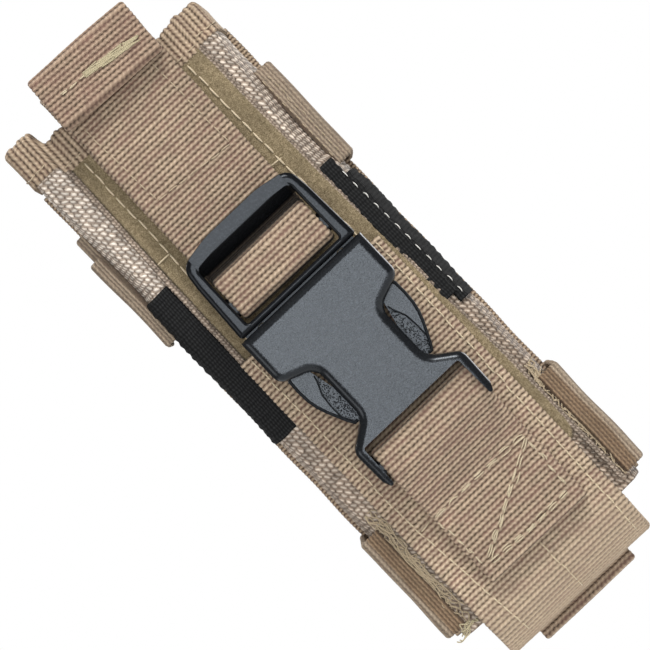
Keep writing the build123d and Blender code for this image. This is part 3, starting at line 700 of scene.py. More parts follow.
# ------------------------------------------------------------------ gusset shape
def gcurve(side, z, n=121):
    """Plan line of a gusset's outer face at height z: a strip that faces forward, a crease, then the side wall."""
    if side < 0:
        wc = np.interp(z, [8, 40, 60, 64, 101, 104, 133, 143], [4.3, 4.8, 5.0, 5.4, 5.4, 3.6, 5.7, 5.9])
        xo = np.interp(z, [8, 60, 100, 134], [24.2, 24.4, 24.4, 24.6])
    else:
        wc = np.interp(z, [8, 40, 58, 62, 97, 100, 107, 133, 143], [4.3, 4.6, 4.6, 4.1, 3.9, 1.5, 1.1, 4.6, 4.9])
        xo = np.interp(z, [8, 60, 90, 97, 118, 126, 136], [24.2, 24.4, 24.2, 22.9, 22.9, 23.4, 23.5])
    p0 = np.array([18.3, -34.35])
    p1 = p0 + np.array([wc, 0.34 * wc])
    x2 = max(xo, p1[0] + 0.25)
    p2 = np.array([x2, p1[1] + (x2 - p1[0]) * 1.5 + 2.2])
    p3 = np.array([24.7, -7.4])
    P = np.array([p0, p1, p2, p3])
    s = np.concatenate([[0], np.cumsum(np.linalg.norm(np.diff(P, axis=0), axis=1))])
    a = np.linspace(0, s[-1], n)
    Q = np.stack([np.interp(a, s, P[:, 0]), np.interp(a, s, P[:, 1])], 1)
    for _ in range(14):
        Q[1:-1] = 0.25 * Q[:-2] + 0.5 * Q[1:-1] + 0.25 * Q[2:]
    T = unit(np.gradient(Q, axis=0))
    N = np.stack([T[:, 1], -T[:, 0]], 1)
    Q = Q * np.array([side, 1])
    N = N * np.array([side, 1])
    s = np.concatenate([[0], np.cumsum(np.linalg.norm(np.diff(Q, axis=0), axis=1))])
    return Q, N, s


def gpoint(side, z, s=None, x=None, off=0.0):
    """Point on a gusset's outer face at height z, by distance from the front seam or by x."""
    Q, N, a = gcurve(side, z)
    if s is None:
        s = np.interp(abs(x), np.abs(Q[:80, 0]), a[:80])
    p = np.array([np.interp(s, a, Q[:, 0]), np.interp(s, a, Q[:, 1])])
    n = unit(np.array([np.interp(s, a, N[:, 0]), np.interp(s, a, N[:, 1])]))
    p = p + n * off
    return np.array([p[0], p[1], z]), np.array([n[0], n[1], 0.0])


def wall(name, side, z0, z1, off, t, relief, ds, dz, mat, s0=0.0, s1=None, cell=1.0, edge=0.3, wav=0.2, seed=2,
         slant=None, inner_step=5, zwarp=None, body="pocket"):
    """A cloth wall that follows a gusset: outer face with relief, plain inner face, rounded edges."""
    nz = max(2, int(round((z1 - z0) / dz)))
    zs = np.linspace(z0, z1, nz + 1)
    L = (s1 if s1 is not None else 32.0) - s0
    nc = max(4, int(round(L / ds)))
    rows = []
    frac = np.linspace(0, 1, nc + 1)
    for z in zs:
        Q, N, a = gcurve(side, z)
        end = a[-1] if s1 is None else s1
        q = s0 + (end - s0) * frac
        p = np.stack([np.interp(q, a, Q[:, 0]), np.interp(q, a, Q[:, 1])], 1)
        n = unit(np.stack([np.interp(q, a, N[:, 0]), np.interp(q, a, N[:, 1])], 1))
        rows.append((p, n, q))
    P = np.array([r[0] for r in rows])
    N = np.array([r[1] for r in rows])
    S = np.array([r[2] for r in rows])
    Z = np.repeat(zs[:, None], nc + 1, 1)
    w = wav * wave(S, Z, seed, 16.0)
    H = off + t + relief(S, Z, np.arange(nc + 1)[None, :], np.arange(nz + 1)[:, None]) + w
    fall = np.clip(np.minimum(S - S[:, :1], S[:, -1:] - S) / edge, 0, 1)
    H = H - (t * 0.5) * (1 - np.sqrt(np.clip(1 - (1 - fall) ** 2, 0, 1)))
    if slant is not None:
        Z = Z + slant(S)
    outer = np.concatenate([P + N * H[..., None], Z[..., None]], -1)
    k = np.arange(0, nc + 1, inner_step)
    if k[-1] != nc:
        k = np.append(k, nc)
    k = k[::-1]
    inner = np.concatenate([P[:, k] + N[:, k] * (off + w[:, k])[..., None], Z[:, k][..., None]], -1)
    G = np.concatenate([outer, inner], 1)
    R, K = G.shape[:2]
    uu = side * np.concatenate([np.arange(nc + 1) * (ds / cell), k * (ds / cell)])
    uv = np.stack([np.repeat(uu[None, :], R, 0), np.repeat((np.arange(R) * dz / cell)[:, None], K, 1)], -1)
    return make(name, G.reshape(-1, 3), ring_faces(R, K), uv.reshape(-1, 2), mat, body)


CELL = 1.27


def basket_relief(amp, side):
    def f(S, Z, j, i):
        """One leaning float to a cell, four grid steps to a cell each way."""
        du, dv = ((side * j) % 4) / 4 - 0.5, (i % 4) / 4 - 0.5
        al, ac = (du - dv) * 0.7071 / 0.56, (du + dv) * 0.7071 / 0.34
        return amp * np.clip(1 - al ** 2 - ac ** 2, 0, 1) ** 0.5 - amp * 0.4
    return f


def elastic_relief(S, Z, j, i):
    return 0.11 * np.sin(Z * 2 * math.pi / 1.9 + 1.6 * wave(S, Z, 31, 9.0)) + 0.07 * np.sin(Z * 2 * math.pi / 3.7 + S)


gl = g = wall("gusset_left_cloth", -1, 9.8, 138.0, -1.05, 1.05, basket_relief(0.15, -1), CELL / 4, CELL / 4, M_BASKET, cell=CELL, seed=11)
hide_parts("gusset_left_upper", "gusset_left_lower")
gr = g = wall("gusset_right_cloth", 1, 9.8, 137.6, -1.05, 1.05, basket_relief(0.17, 1), CELL / 4, CELL / 4, M_BASKET_R_SHADE, cell=CELL, seed=12)
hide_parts("gusset_right_upper", "gusset_right_lower")
g = wall("elastic_left_band", -1, 64.0, 102.2, 0.12, 0.75, elastic_relief, 0.45, 0.42, M_ELASTIC, s0=0.75, s1=None,
         cell=1.0, edge=0.7, seed=13, slant=lambda s: 0.10 * np.sin(s * 1.1))
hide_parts("elastic_left")
g = wall("elastic_right_band", 1, 61.7, 98.4, 0.35, 0.95, elastic_relief, 0.40, 0.42, M_ELASTIC, s0=0.35, s1=3.9,
         cell=1.0, edge=0.9, seed=14)
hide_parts("elastic_right")
g = wall("elastic_right_rear", 1, 59.5, 94.0, 0.10, 0.70, elastic_relief, 0.45, 0.42, M_ELASTIC, s0=3.2, s1=None,
         cell=1.0, edge=0.6, seed=15)


# ------------------------------------------------------------------ seams, bindings
def relief_grid(G, H, sign):
    du = np.roll(G, -1, 1) - np.roll(G, 1, 1)
    dv = np.gradient(G, axis=0)
    n = unit(np.cross(du, dv)) * sign
    return G + n * H[..., None]


def ribbed_sweep(name, G, v, per_rib, amp, mat, col_u, sign=None, body="pocket", bead=True):
    """Sweeps given rings (R,K,3), raising ribs across the run and beads along them."""
    R, K = G.shape[:2]
    frac = v - np.floor(v + 1e-9)
    idx = np.floor(v + 1e-9).astype(int)
    r = np.abs(np.sin(math.pi * frac)) ** 0.75
    par = ((np.arange(K)[None, :] + idx[:, None]) % 2 == 0).astype(float)
    H = amp * r[:, None] * (0.84 + 0.16 * par if bead else 1.0) - amp * 0.5
    if sign is None:
        du = np.roll(G, -1, 1) - np.roll(G, 1, 1)
        n = np.cross(du, np.gradient(G, axis=0))
        out = G - G.mean(1, keepdims=True)
        sign = 1.0 if (n * out).sum() > 0 else -1.0
    G = relief_grid(G, H, sign)
    uv = np.stack([np.repeat((np.arange(K) * col_u)[None, :], R, 0), np.repeat(v[:, None], K, 1)], -1)
    return make(name, G.reshape(-1, 3), ring_faces(R, K), uv.reshape(-1, 2), mat, body)


def seam_edge(name, side, x_of, z0, z1, y=-34.75):
    """Turned edge of the front cloth beside the tape: a small rolled cord of weave, coloured darker as painted shade.
    """
    n = int((z1 - z0) / 0.3)
    zs = np.linspace(z0, z1, n)
    th = np.linspace(0, 2 * math.pi, 10, endpoint=False)
    par = ((np.arange(10)[None, :] // 2 + (np.arange(n)[:, None] * 0.3 / 0.85).astype(int)) % 2)
    r = 0.52 + 0.12 * np.abs(np.sin(math.pi * zs / 0.85))[:, None] * (0.5 + 0.5 * par)
    xs = np.array([x_of(z) for z in zs]) + 0.08 * wave(zs, zs * 0, 40 + side, 14.0)
    G = np.stack([xs[:, None] + r * 1.15 * np.cos(th)[None, :], y + r * 0.9 * np.sin(th)[None, :], np.repeat(zs[:, None], 10, 1)], -1)
    uv = np.stack([np.repeat((np.arange(10) * 0.5)[None, :], n, 0), np.repeat((zs / 0.85)[:, None], 10, 1)], -1)
    return make(name, G.reshape(-1, 3), ring_faces(n, 10), uv.reshape(-1, 2), M_EDGE_SHADE, "pocket")


seam_edge("seam_roll_left", -1, lambda z: np.interp(z, [24, 60, 103, 131], [-18.9, -18.8, -18.35, -17.7]), 12.0, 132.5, -35.05)
seam_edge("seam_roll_right", 1, lambda z: np.interp(z, [24, 45, 62, 103, 131], [20.7, 20.5, 19.7, 18.6, 18.4]), 12.0, 132.5, -34.7)


def binding_path():
    """Plan line of the mouth binding, left back corner to right back corner, with outward normals."""
    pts = []
    QL, NL, a = gcurve(-1, 138.0)
    QR, NR, _ = gcurve(1, 138.0)
    left = [tuple(q) for q in QL[::-1] if q[1] < -8.4 and abs(q[0]) > 18.9]
    right = [tuple(q) for q in QR if q[1] < -8.4 and abs(q[0]) > 18.9]
    mid = [(x, -34.95 - 0.10 * math.cos(x / 9.0)) for x in np.linspace(-17.9, 17.9, 60)]
    P = np.array(left + mid + right)
    for _ in range(6):
        P[1:-1] = 0.25 * P[:-2] + 0.5 * P[1:-1] + 0.25 * P[2:]
    return P


BP = binding_path()
_s = np.concatenate([[0], np.cumsum(np.linalg.norm(np.diff(BP, axis=0), axis=1))])
RIB_B = 1.2
n_r = int(round(_s[-1] / RIB_B))
v = np.append((np.arange(n_r)[:, None] + np.array([0, 0.25, 0.5, 0.75])[None, :]).ravel(), n_r)
q = v * _s[-1] / n_r
B = np.stack([np.interp(q, _s, BP[:, 0]), np.interp(q, _s, BP[:, 1])], 1)
T = unit(np.gradient(B, axis=0))
Nn = np.stack([T[:, 1], -T[:, 0]], 1)
x = B[:, 0]
rear = np.clip((B[:, 1] + 30) / 18, 0, 1)
front_l = 1 / (1 + np.exp((x + 18.15) * 6.5))            # 1 on the left wing
right_w = 1 / (1 + np.exp(-(x - 18.2) * 2.5))
top = 139.75 + front_l * 4.05 + 0.22 * np.sin(x * 0.8) * (1 - front_l) + 0.15 * np.sin(q * 1.9) + right_w * 0.6 - rear * 0.8
bot = 131.9 + front_l * 2.7 + right_w * 0.7
B_TOP, B_BOT = top, bot
prof = []                                                # (outward, height 0..1, extra height)
for k in np.linspace(0, 1, 15):
    prof.append((0.78 - 0.10 * math.sin(k * math.pi), k, 0.0))
for a_ in np.linspace(12, 168, 8):
    prof.append((-0.42 + 1.2 * math.cos(math.radians(a_)), 1.0, 1.15 * math.sin(math.radians(a_))))
for k in np.linspace(1, 0, 9):
    prof.append((-1.62, k, 0.0))
prof.append((-0.9, 0.0, 0.0))
prof.append((0.0, 0.0, 0.0))
prof = np.array(prof)
hgt = (top - 1.15 - bot)
G = np.stack([B[:, None, 0] + Nn[:, None, 0] * prof[None, :, 0],
              B[:, None, 1] + Nn[:, None, 1] * prof[None, :, 0],
              bot[:, None] + hgt[:, None] * prof[None, :, 1] + prof[None, :, 2]], -1)
g = ribbed_sweep("mouth_binding_tape", G, v, 4, 0.24, M_BIND, 0.5)
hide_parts("mouth_binding")


# back panel's top binding and its two side bindings
def u_tape(name, run, place, depth, half_t, rib, mat=None, sides=9):
    """U-shaped tape over a straight edge. place(run value, out, depth) gives a point."""
    L = run[1] - run[0]
    n = int(round(L / rib))
    v = np.append((np.arange(n)[:, None] + np.array([0, 0.3, 0.7])[None, :]).ravel(), n)
    s = run[0] + v * L / n
    pr = [(half_t, d) for d in np.linspace(-depth, -half_t, max(4, int(depth / 0.6)))]
    pr += [(half_t * math.cos(a), -half_t + half_t * math.sin(a)) for a in np.linspace(0.25, math.pi - 0.25, 6)]
    pr += [(-half_t, d) for d in np.linspace(-half_t, -depth, max(4, int(depth / 0.6)))]
    pr += [(0.0, -depth)]
    G = np.array([[place(a, o, d) for (o, d) in pr] for a in s])
    return ribbed_sweep(name, G, v, 3, 0.14, mat or M_BIND, 0.5)


g = u_tape("back_binding_tape", (-25.2, 25.2), lambda a, o, d: (a, -6.65 - o, 140.2 + d + 0.12 * math.sin(a * 0.7)), 8.0, 1.35, 1.2)
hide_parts("back_binding")
for side, tag in ((-1, "left"), (1, "right")):
    u_tape("back_edge_tape_" + tag, (9.0, 133.8), lambda a, o, d, side=side: (side * (25.95 + d + 0.10 * math.sin(a * 0.35 + side)), -6.65 - o, a),
           3.4, 0.95, 0.86, M_BIND)


# ------------------------------------------------------------------ cloth panels
def panel(name, x0, x1, z0, z1, y, t, mat, cell=0.62, step=1.6, wav=0.12, seed=4, body="pocket", xz=None):
    """Flat cloth slab between y and y - t."""
    nx, nz = int((x1 - x0) / step), int((z1 - z0) / step)
    xs, zs = np.linspace(x0, x1, nx + 1), np.linspace(z0, z1, nz + 1)
    X, Zg = np.meshgrid(xs, zs)
    edge = np.clip(np.minimum(np.minimum(X - x0, x1 - X), np.minimum(Zg - z0, z1 - Zg)) / 3.0, 0, 1)
    w = wav * wave(X, Zg, seed, 26.0) * edge
    back = np.stack([X, y + w, Zg], -1)
    front = np.stack([X, y - t + w, Zg], -1)[:, ::-1]
    G = np.concatenate([back, front], 1)
    R, K = G.shape[:2]
    uv = np.stack([G[..., 0] / cell, G[..., 2] / cell], -1)
    return make(name, G.reshape(-1, 3), ring_faces(R, K), uv.reshape(-1, 2), mat, body)


bp = g = panel("back_panel_cloth", -24.7, 24.7, 8.0, 139.0, -5.9, 0.5, M_CLOTH, seed=21, wav=0.10)
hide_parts("back_panel")
bl = g = panel("back_lining_cloth", -24.7, 24.7, 8.0, 139.0, -6.95, 0.45, M_CLOTH, seed=22, wav=0.08)
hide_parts("back_lining")


def plain(name, path, half, t, mat, cell, step=1.5, body="pocket", wav=0.1, seed=3, xc=0.0):
    """Cloth of constant width along a path in the yz plane."""
    P, T, s, L = path2d(path, step)
    N = np.stack([-T[:, 1], T[:, 0]], 1)
    nc = int(2 * half / step)
    c = np.linspace(-half, half, nc + 1)
    C = np.concatenate([c, c[::-1]])
    H = np.concatenate([np.full(nc + 1, t / 2), np.full(nc + 1, -t / 2)])
    w = wav * wave(C[None, :], s[:, None], seed, 20.0)
    U = P[:, None, 0] + N[:, None, 0] * (H[None, :] + w)
    V = P[:, None, 1] + N[:, None, 1] * (H[None, :] + w)
    G = np.stack([np.repeat(C[None, :] + xc, len(s), 0), U, V], -1)
    uv = np.stack([np.repeat(C[None, :] / cell, len(s), 0), np.repeat(s[:, None] / cell, 2 * nc + 2, 1)], -1)
    return make(name, G.reshape(-1, 3), ring_faces(len(s), 2 * nc + 2), uv.reshape(-1, 2), mat, body)


fp = g = plain("front_panel_cloth", [(-33.95, 138.0), (-33.95, 2.6, 9.0), (-7.95, 2.6, 7.0), (-7.95, 13.0)], 17.9, 0.95, M_CLOTH, 0.62)
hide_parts("front_panel")


def pile_sheet(name, rows, back_y, mat, body, amp=0.09, seed=6, replaces=None):
    """Tape with a brushed face. rows: [(z, x_left, x_right, y_front)] evenly spaced."""
    rows = np.asarray(rows)
    n = len(rows)
    nc = int((rows[:, 2] - rows[:, 1]).max() / 0.62)
    f = np.linspace(0, 1, nc + 1)
    X = rows[:, 1:2] + (rows[:, 2:3] - rows[:, 1:2]) * f
    Zg = np.repeat(rows[:, :1], nc + 1, 1)
    rg = np.random.default_rng(seed)
    d = np.minimum(X - X[:, :1], X[:, -1:] - X)
    rnd = 0.75 * (1 - np.sqrt(np.clip(1 - (1 - np.clip(d / 0.8, 0, 1)) ** 2, 0, 1)))
    Y = rows[:, 3:4] + rnd + amp * 0.5 * rg.standard_normal(X.shape).clip(-1.5, 1.5) + 0.10 * wave(X, Zg, seed, 12.0)
    front = np.stack([X, Y, Zg], -1)
    back = np.stack([X[:, ::-3], np.full_like(X[:, ::-3], back_y), Zg[:, ::-3]], -1)
    G = np.concatenate([front, back], 1)
    R, K = G.shape[:2]
    uv = np.stack([G[..., 0], G[..., 2]], -1)
    g = make(name, G.reshape(-1, 3), ring_faces(R, K), uv.reshape(-1, 2), mat, body)
    if replaces:
        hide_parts(replaces)
    return g


zs = np.arange(24.0, 132.6, 0.62)
rnd = 5.0 - np.sqrt(np.clip(25.0 - np.clip(29.0 - zs, 0, 5) ** 2, 0, 25))
xl = np.interp(zs, [24, 60, 103, 132], [-18.3, -18.2, -17.75, -17.1]) + rnd
xr = np.interp(zs, [24, 45, 62, 98, 132], [21.0, 20.7, 20.1, 18.9, 18.35]) - rnd * 0.7
pile_sheet("loop_tape_pile", np.stack([zs, xl, xr, np.full_like(zs, -35.55)], 1), -34.45, M_LOOP, "pocket", replaces="loop_tape")

# ------------------------------------------------------------------ webbing on the pocket
g = web("wrap_web", [(-36.55, 80.6), (-36.55, 0.85, 11), (-4.65, 0.85, 9), (-4.65, 50)], 18.95, 1.6, -1, xc=-0.45, rib=1.04, amp=0.24,
        phases=(0, 0.3, 0.7), mat=M_WRAP, seed=31, wav=0.10)
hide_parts("wrap_webbing")
g = web("female_loop_web", [(-38.15, 14.8), (-38.15, 36.0, 8.0), (-40.4, 44.0, 4.0), (-40.4, 49.75, 1.5), (-46.0, 49.75, 1.5),
                            (-46.0, 44.5, 5.0), (-39.75, 32.0, 8.0), (-39.75, 14.8)], 12.9, 1.3, -1, xc=0.45, rib=1.04, amp=0.24, mat=M_WEB,
        seed=32, wav=0.14)
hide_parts("female_web_loop")
UP = [(-24.3, -28.0), (-26.0, -27.0, 0.9), (-26.1, -18, 6), (-25.7, -2.7, 3.0), (26.35, -2.7, 3.2), (26.4, -20, 6), (26.4, -27.2, 1.0), (22.7, -29.0)]
g = web("upper_band_web", UP, 12.65, 1.35, 1, "xy", 108.9, rib=0.80, amp=0.12, phases=(0, 0.3, 0.7), mat=M_BAND, seed=33)
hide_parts("upper_back_band")
web("upper_band_fold", [(-25.0, -29.4), (-27.15, -28.3, 0.9), (-27.1, -17.5, 8), (-27.0, -8.6)], 11.3, 1.15, 1, "xy", 104.6, rib=0.80, amp=0.12, mat=M_BAND,
    seed=34, wav=0.2)
LO = [(-22.2, -33.9), (-26.2, -32.4, 1.0), (-26.35, -20, 8), (-26.2, -2.7, 3.0), (26.6, -2.7, 3.2), (26.65, -20, 8), (26.5, -32.0, 1.1), (22.2, -33.9)]
g = web("lower_band_web", LO, 12.95, 1.35, 1, "xy", 24.9, rib=0.80, amp=0.12, phases=(0, 0.3, 0.7), mat=M_BAND_LOW, seed=35, wav=0.18)
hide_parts("lower_back_band")

# ------------------------------------------------------------------ retention strap
g = web("strap_web_main", [(-4.35, 62), (-4.35, 146.3, 5.4), (-36.95, 146.3, 6), (-36.95, 95.5)], 12.3, 1.25, -1, rib=1.04, amp=0.22,
        phases=(0, 0.3, 0.7), mat=M_STRAP, body="retention", seed=41, wav=0.10)
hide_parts("retention_strap")
web("strap_web_ladder", [(-37.2, 98.6), (-41.15, 91.6, 4), (-41.15, 86.7, 1.4), (-46.1, 86.7, 2.1), (-46.1, 95.5, 2.5), (-40.0, 96.4, 1.6),
                         (-40.0, 102.2)], 11.95, 1.3, 1, rib=1.04, amp=0.24, mat=M_LADDER, body="retention", seed=42, wav=0.10)
zs = np.arange(107.0, 134.2, 0.8)
pile_sheet("strap_loop_pile", np.stack([zs, np.full_like(zs, -11.4), np.full_like(zs, 11.4), np.full_like(zs, -38.2)], 1), -37.5, M_LOOP,
           "retention", seed=8, replaces="strap_loop_tape")

# ------------------------------------------------------------------ tail and pull tab
lean = lambda y, z: 0.1 + 0.018 * (z - 103.0)
tail = web("tail_web", [(-40.0, 100.6), (-40.0, 148.2)], 12.3, 1.3, 1, rib=1.04, amp=0.24, mat=M_WEB, body=None, seed=43, wav=0.12, shift=lean)
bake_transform(tail)
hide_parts("strap_tail")


def turn_tab(co):
    th = math.radians(2.6)
    cx, cz = 0.95, 143.2
    co = co - np.array([0.3, 0.0, 0.35])
    dx, dz = co[:, 0] - cx, co[:, 2] - cz
    return np.stack([cx + dx * math.cos(th) + dz * math.sin(th), co[:, 1], cz - dx * math.sin(th) + dz * math.cos(th)], 1)


def tab_sag(C, S, L):
    return 0.16 * np.cos(C * 2 * math.pi / 30.0) * np.sin(S * math.pi / L)


g = web("pull_tab_web", [(-42.72, 141.8), (-42.72, 137.7, 0.66), (-44.05, 137.7, 0.66), (-44.05, 149.3, 1.25), (-41.45, 149.3, 1.25),
                         (-41.45, 137.6)], 12.45, 1.25, 1, xc=0.95, rib=1.04, amp=0.24, mat=M_TAB, body="tail", seed=44, wav=0.14, xf=turn_tab,
        sag=tab_sag)
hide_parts("pull_tab")


hb = panel("tail_hook_base", -11.5, 11.6, 107.0, 147.0, -38.95, 0.36, M_HOOK, cell=1.0, step=1.5, wav=0.0, body="tail")
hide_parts("tail_hook_tape")
lines = []
for i, zz in enumerate(np.arange(107.9, 147.0, 1.5)):
    for j, xx in enumerate(np.arange(-11.0 + 0.7 * (i % 2), 11.2, 1.4)):
        lines.append((np.array([[xx, -39.0, zz], [xx, -38.78, zz], [xx, -38.66, zz + 0.10], [xx, -38.64, zz + 0.28], [xx, -38.74, zz + 0.36]]), 0.085))
tubes("tail_hooks", lines, M_HOOK, "tail", sides=4)

# ------------------------------------------------------------------ MOLLE strap
mo = web("molle_web", [(-0.80, 120.0), (-0.80, -4.45, 0.64), (-2.08, -4.45, 0.64), (-2.08, 3.3)], 12.55, 1.3, 1, xc=-0.25, rib=1.04, amp=0.2,
         phases=(0, 0.3, 0.7), mat=M_WEB, body=None, seed=51, wav=0.05)
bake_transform(mo)
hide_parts("molle_strap", "molle_anchor")


# ------------------------------------------------------------------ stitching
def wrap_y(z, off=0.13):
    """Front face of the wide webbing, down into its lower fold."""
    z = np.asarray(z, float)
    R = 11.0 + 0.8 + off
    low = -25.55 - np.sqrt(np.clip(R * R - (11.85 - z) ** 2, 0, None))
    return np.where(z < 11.85, low, -36.55 - 0.8 - off)


def line3(pts2, y, n=40):
    """Polyline of (x, z) points laid on a surface y(x, z) or a constant."""
    pts2 = np.asarray(pts2, float)
    s = np.concatenate([[0], np.cumsum(np.linalg.norm(np.diff(pts2, axis=0), axis=1))])
    a = np.linspace(0, s[-1], n)
    X, Zs = np.interp(a, s, pts2[:, 0]), np.interp(a, s, pts2[:, 1])
    Y = np.array([y(p, q) for p, q in zip(X, Zs)]) if callable(y) else np.full(n, float(y))
    return np.stack([X, Y, Zs], 1)


lines = []
lines += stitch_lines(line3([(-17.0, 80.0), (-16.5, 35.0), (-13.6, 2.5)], lambda x, z: float(wrap_y(z))), pitch=2.9, gap=0.45, dia=0.34, seed=61, lift=0.02)
lines += stitch_lines(line3([(17.1, 80.0), (16.4, 35.0), (15.6, 2.0)], lambda x, z: float(wrap_y(z))), pitch=2.9, gap=0.45, dia=0.34, seed=62, lift=0.02)
lines += stitch_lines(line3([(-0.3, 14.2), (0.1, 1.2)], lambda x, z: float(wrap_y(z))), pitch=3.0, gap=0.4, dia=0.28, seed=63, lift=0.0)
lines += stitch_lines(line3([(-16.0, 31.6), (-13.2, 32.0)], lambda x, z: -37.5), pitch=3.0, gap=0.3, dia=0.34, seed=64)
tubes("wrap_stitches", lines, M_THREAD)
LY = -40.74
lines = []
for k_, (dz, sd) in enumerate(((0.0, 65), (-0.45, 165), (0.4, 265))):
    lines += stitch_lines(line3([(-12.2, 32.3 + dz), (0.0, 32.6 + dz), (12.4, 31.9 + dz)], LY), pitch=3.3, gap=0.7 + 0.2 * k_, dia=0.30, seed=sd, lift=0.04, jitter=0.16)
    lines += stitch_lines(line3([(12.2, 31.2 + dz), (-9.8, 18.9 + dz)], LY), pitch=3.0, gap=0.4 + 0.2 * k_, dia=0.30, seed=sd + 1, lift=0.06, jitter=0.16)
    lines += stitch_lines(line3([(-10.3, 18.3 + dz), (0.0, 17.6 + dz), (11.2, 18.2 + dz)], LY), pitch=3.1, gap=0.8 + 0.2 * k_, dia=0.30, seed=sd + 2, lift=0.04, jitter=0.16)
    if k_ < 2:
        lines += stitch_lines(line3([(11.9, 31.0 + dz), (11.6, 19.0 + dz)], LY), pitch=2.8, gap=1.1, dia=0.26, seed=sd + 3, lift=0.0, jitter=0.14)
        lines += stitch_lines(line3([(-11.9, 31.6 + dz), (-11.2, 19.0 + dz)], LY), pitch=2.8, gap=1.1, dia=0.26, seed=sd + 4, lift=0.0, jitter=0.14)
tubes("female_loop_stitches", lines, M_LOOSE)
lines = []
TY = -35.72
lines += stitch_lines(line3([(-14.1, 131.5), (-14.3, 106.0), (-14.7, 95.0), (-14.9, 81.5)], TY), pitch=3.1, gap=0.45, dia=0.42, seed=68)
lines += stitch_lines(line3([(14.3, 131.5), (14.6, 106.0), (15.0, 95.0), (15.6, 81.5)], TY), pitch=3.1, gap=0.45, dia=0.42, seed=69)
lines += stitch_lines(line3([(-17.6, 106.5), (-14.0, 106.5)], TY), pitch=3.4, gap=0.2, dia=0.34, seed=70)
lines += stitch_lines(line3([(11.6, 105.3), (15.3, 105.0)], TY), pitch=3.4, gap=0.2, dia=0.30, seed=71)
tubes("tape_stitches", lines, M_THREAD)
lines = []
SY = -40.80
lines += stitch_lines(line3([(-9.5, 135.9), (-8.7, 115.6)], SY), pitch=2.6, gap=0.7, dia=0.24, seed=72, lift=0.03)
lines += stitch_lines(line3([(-8.7, 115.4), (9.7, 113.7)], SY), pitch=2.6, gap=0.6, dia=0.26, seed=73, lift=0.03)
lines += stitch_lines(line3([(9.3, 136.2), (9.7, 113.9)], SY), pitch=2.6, gap=0.7, dia=0.24, seed=74, lift=0.03)
tubes("tail_stitches", lines, M_PALE, "tail")
PY = -44.85
lines = stitch_lines(line3([(-8.4, 143.7), (-1.4, 143.0)], PY), pitch=2.4, gap=0.7, dia=0.34, seed=75)
lines += stitch_lines(line3([(-8.2, 143.4), (-4.6, 143.1)], PY), pitch=1.9, gap=0.5, dia=0.34, seed=175)
tubes("tab_stitch", lines, M_LOOSE, "tail")
lines = zigzag_lines((0.2, PY - 0.02, 142.74), (9.6, PY - 0.02, 141.35), 0.62, 0.46, (0, -1, 0), 0.30, seed=76, jit=0.38)
lines += zigzag_lines((-1.5, PY - 0.02, 142.98), (1.4, PY - 0.02, 142.56), 0.34, 0.55, (0, -1, 0), 0.26, seed=77, jit=0.5)
for k_ in range(11):
    g_ = np.random.default_rng(700 + k_)
    o_ = (k_ - 5) * 0.155
    for a_ in np.arange(-1.9, 10.2, 3.1):
        a0 = a_ + g_.uniform(-0.5, 0.5)
        b0 = min(a0 + g_.uniform(2.6, 3.8), 11.1)
        wa, wb = (0.68 + 0.32 * math.sin(math.pi * min(1.0, max(0.0, (q_ + 2.4) / 13.9))) for q_ in (a0, b0))
        pa = np.array([a0, PY - 0.22, 143.05 - 0.150 * (a0 + 1.6) + o_ * wa])
        pb = np.array([b0, PY - 0.22, 143.05 - 0.150 * (b0 + 1.6) + o_ * wb + g_.normal(0, 0.16)])
        t_ = np.linspace(0, 1, 9)[:, None]
        lines.append((pa + (pb - pa) * t_ + np.array([0, -0.10, 0.06]) * np.sin(math.pi * t_) * g_.uniform(0.3, 1.4), 0.12))
tubes("tab_bartack", lines, M_TACK, "tail")


def bind_point(xq, zq, off, lo=0.0, wing=None):
    """Point on the outer face of the mouth binding at plan position xq."""
    m = np.abs(B[:, 1]) > 26 if wing is None else wing
    i = np.argmin(np.abs(B[:, 0] - xq) + (0 if m is None else 100 * (~m)))
    return np.array([B[i, 0] + Nn[i, 0] * off, B[i, 1] + Nn[i, 1] * off, zq])


def on_binding(x0, x1, z_fn, off=0.86, n=40):
    order = np.where((B[:, 0] >= min(x0, x1)) & (B[:, 0] <= max(x0, x1)) & (B[:, 1] < -27))[0]
    return np.array([[B[i, 0] + Nn[i, 0] * off, B[i, 1] + Nn[i, 1] * off, z_fn(B[i, 0])] for i in order])


lines = []
lines += stitch_lines(on_binding(-24.6, -19.6, lambda x: 136.6), (-0.3, -0.95, 0), pitch=3.0, gap=0.25, dia=0.30, seed=78)
lines += stitch_lines(on_binding(-18.2, 18.2, lambda x: 133.2), pitch=3.0, gap=0.9, dia=0.24, seed=79, lift=0.0)
lines += stitch_lines(on_binding(18.6, 23.6, lambda x: 134.2), (0.3, -0.95, 0), pitch=2.8, gap=0.3, dia=0.30, seed=80)
tubes("binding_stitches", lines, M_PALE)
pts = []
for z in np.linspace(95.5, 60.0, 40):
    p, n = gpoint(1, z, x=np.interp(z, [60, 78, 95], [22.3, 22.0, 21.6]), off=1.12)
    pts.append(p)
tubes("elastic_stitches", stitch_lines(pts, (0.35, -0.93, 0), pitch=3.0, gap=1.5, dia=0.22, seed=81), M_WHITE)


def wander(a, b, amp, seed, n=26):
    """A loose thread end between two points."""
    g_ = np.random.default_rng(seed)
    a, b = np.asarray(a, float), np.asarray(b, float)
    t = np.linspace(0, 1, n)[:, None]
    p = a + (b - a) * t
    for k in range(1, 4):
        p = p + np.sin(math.pi * k * t) * g_.normal(0, amp / k, 3)[None, :] * np.array([1, 0.35, 1])
    return p


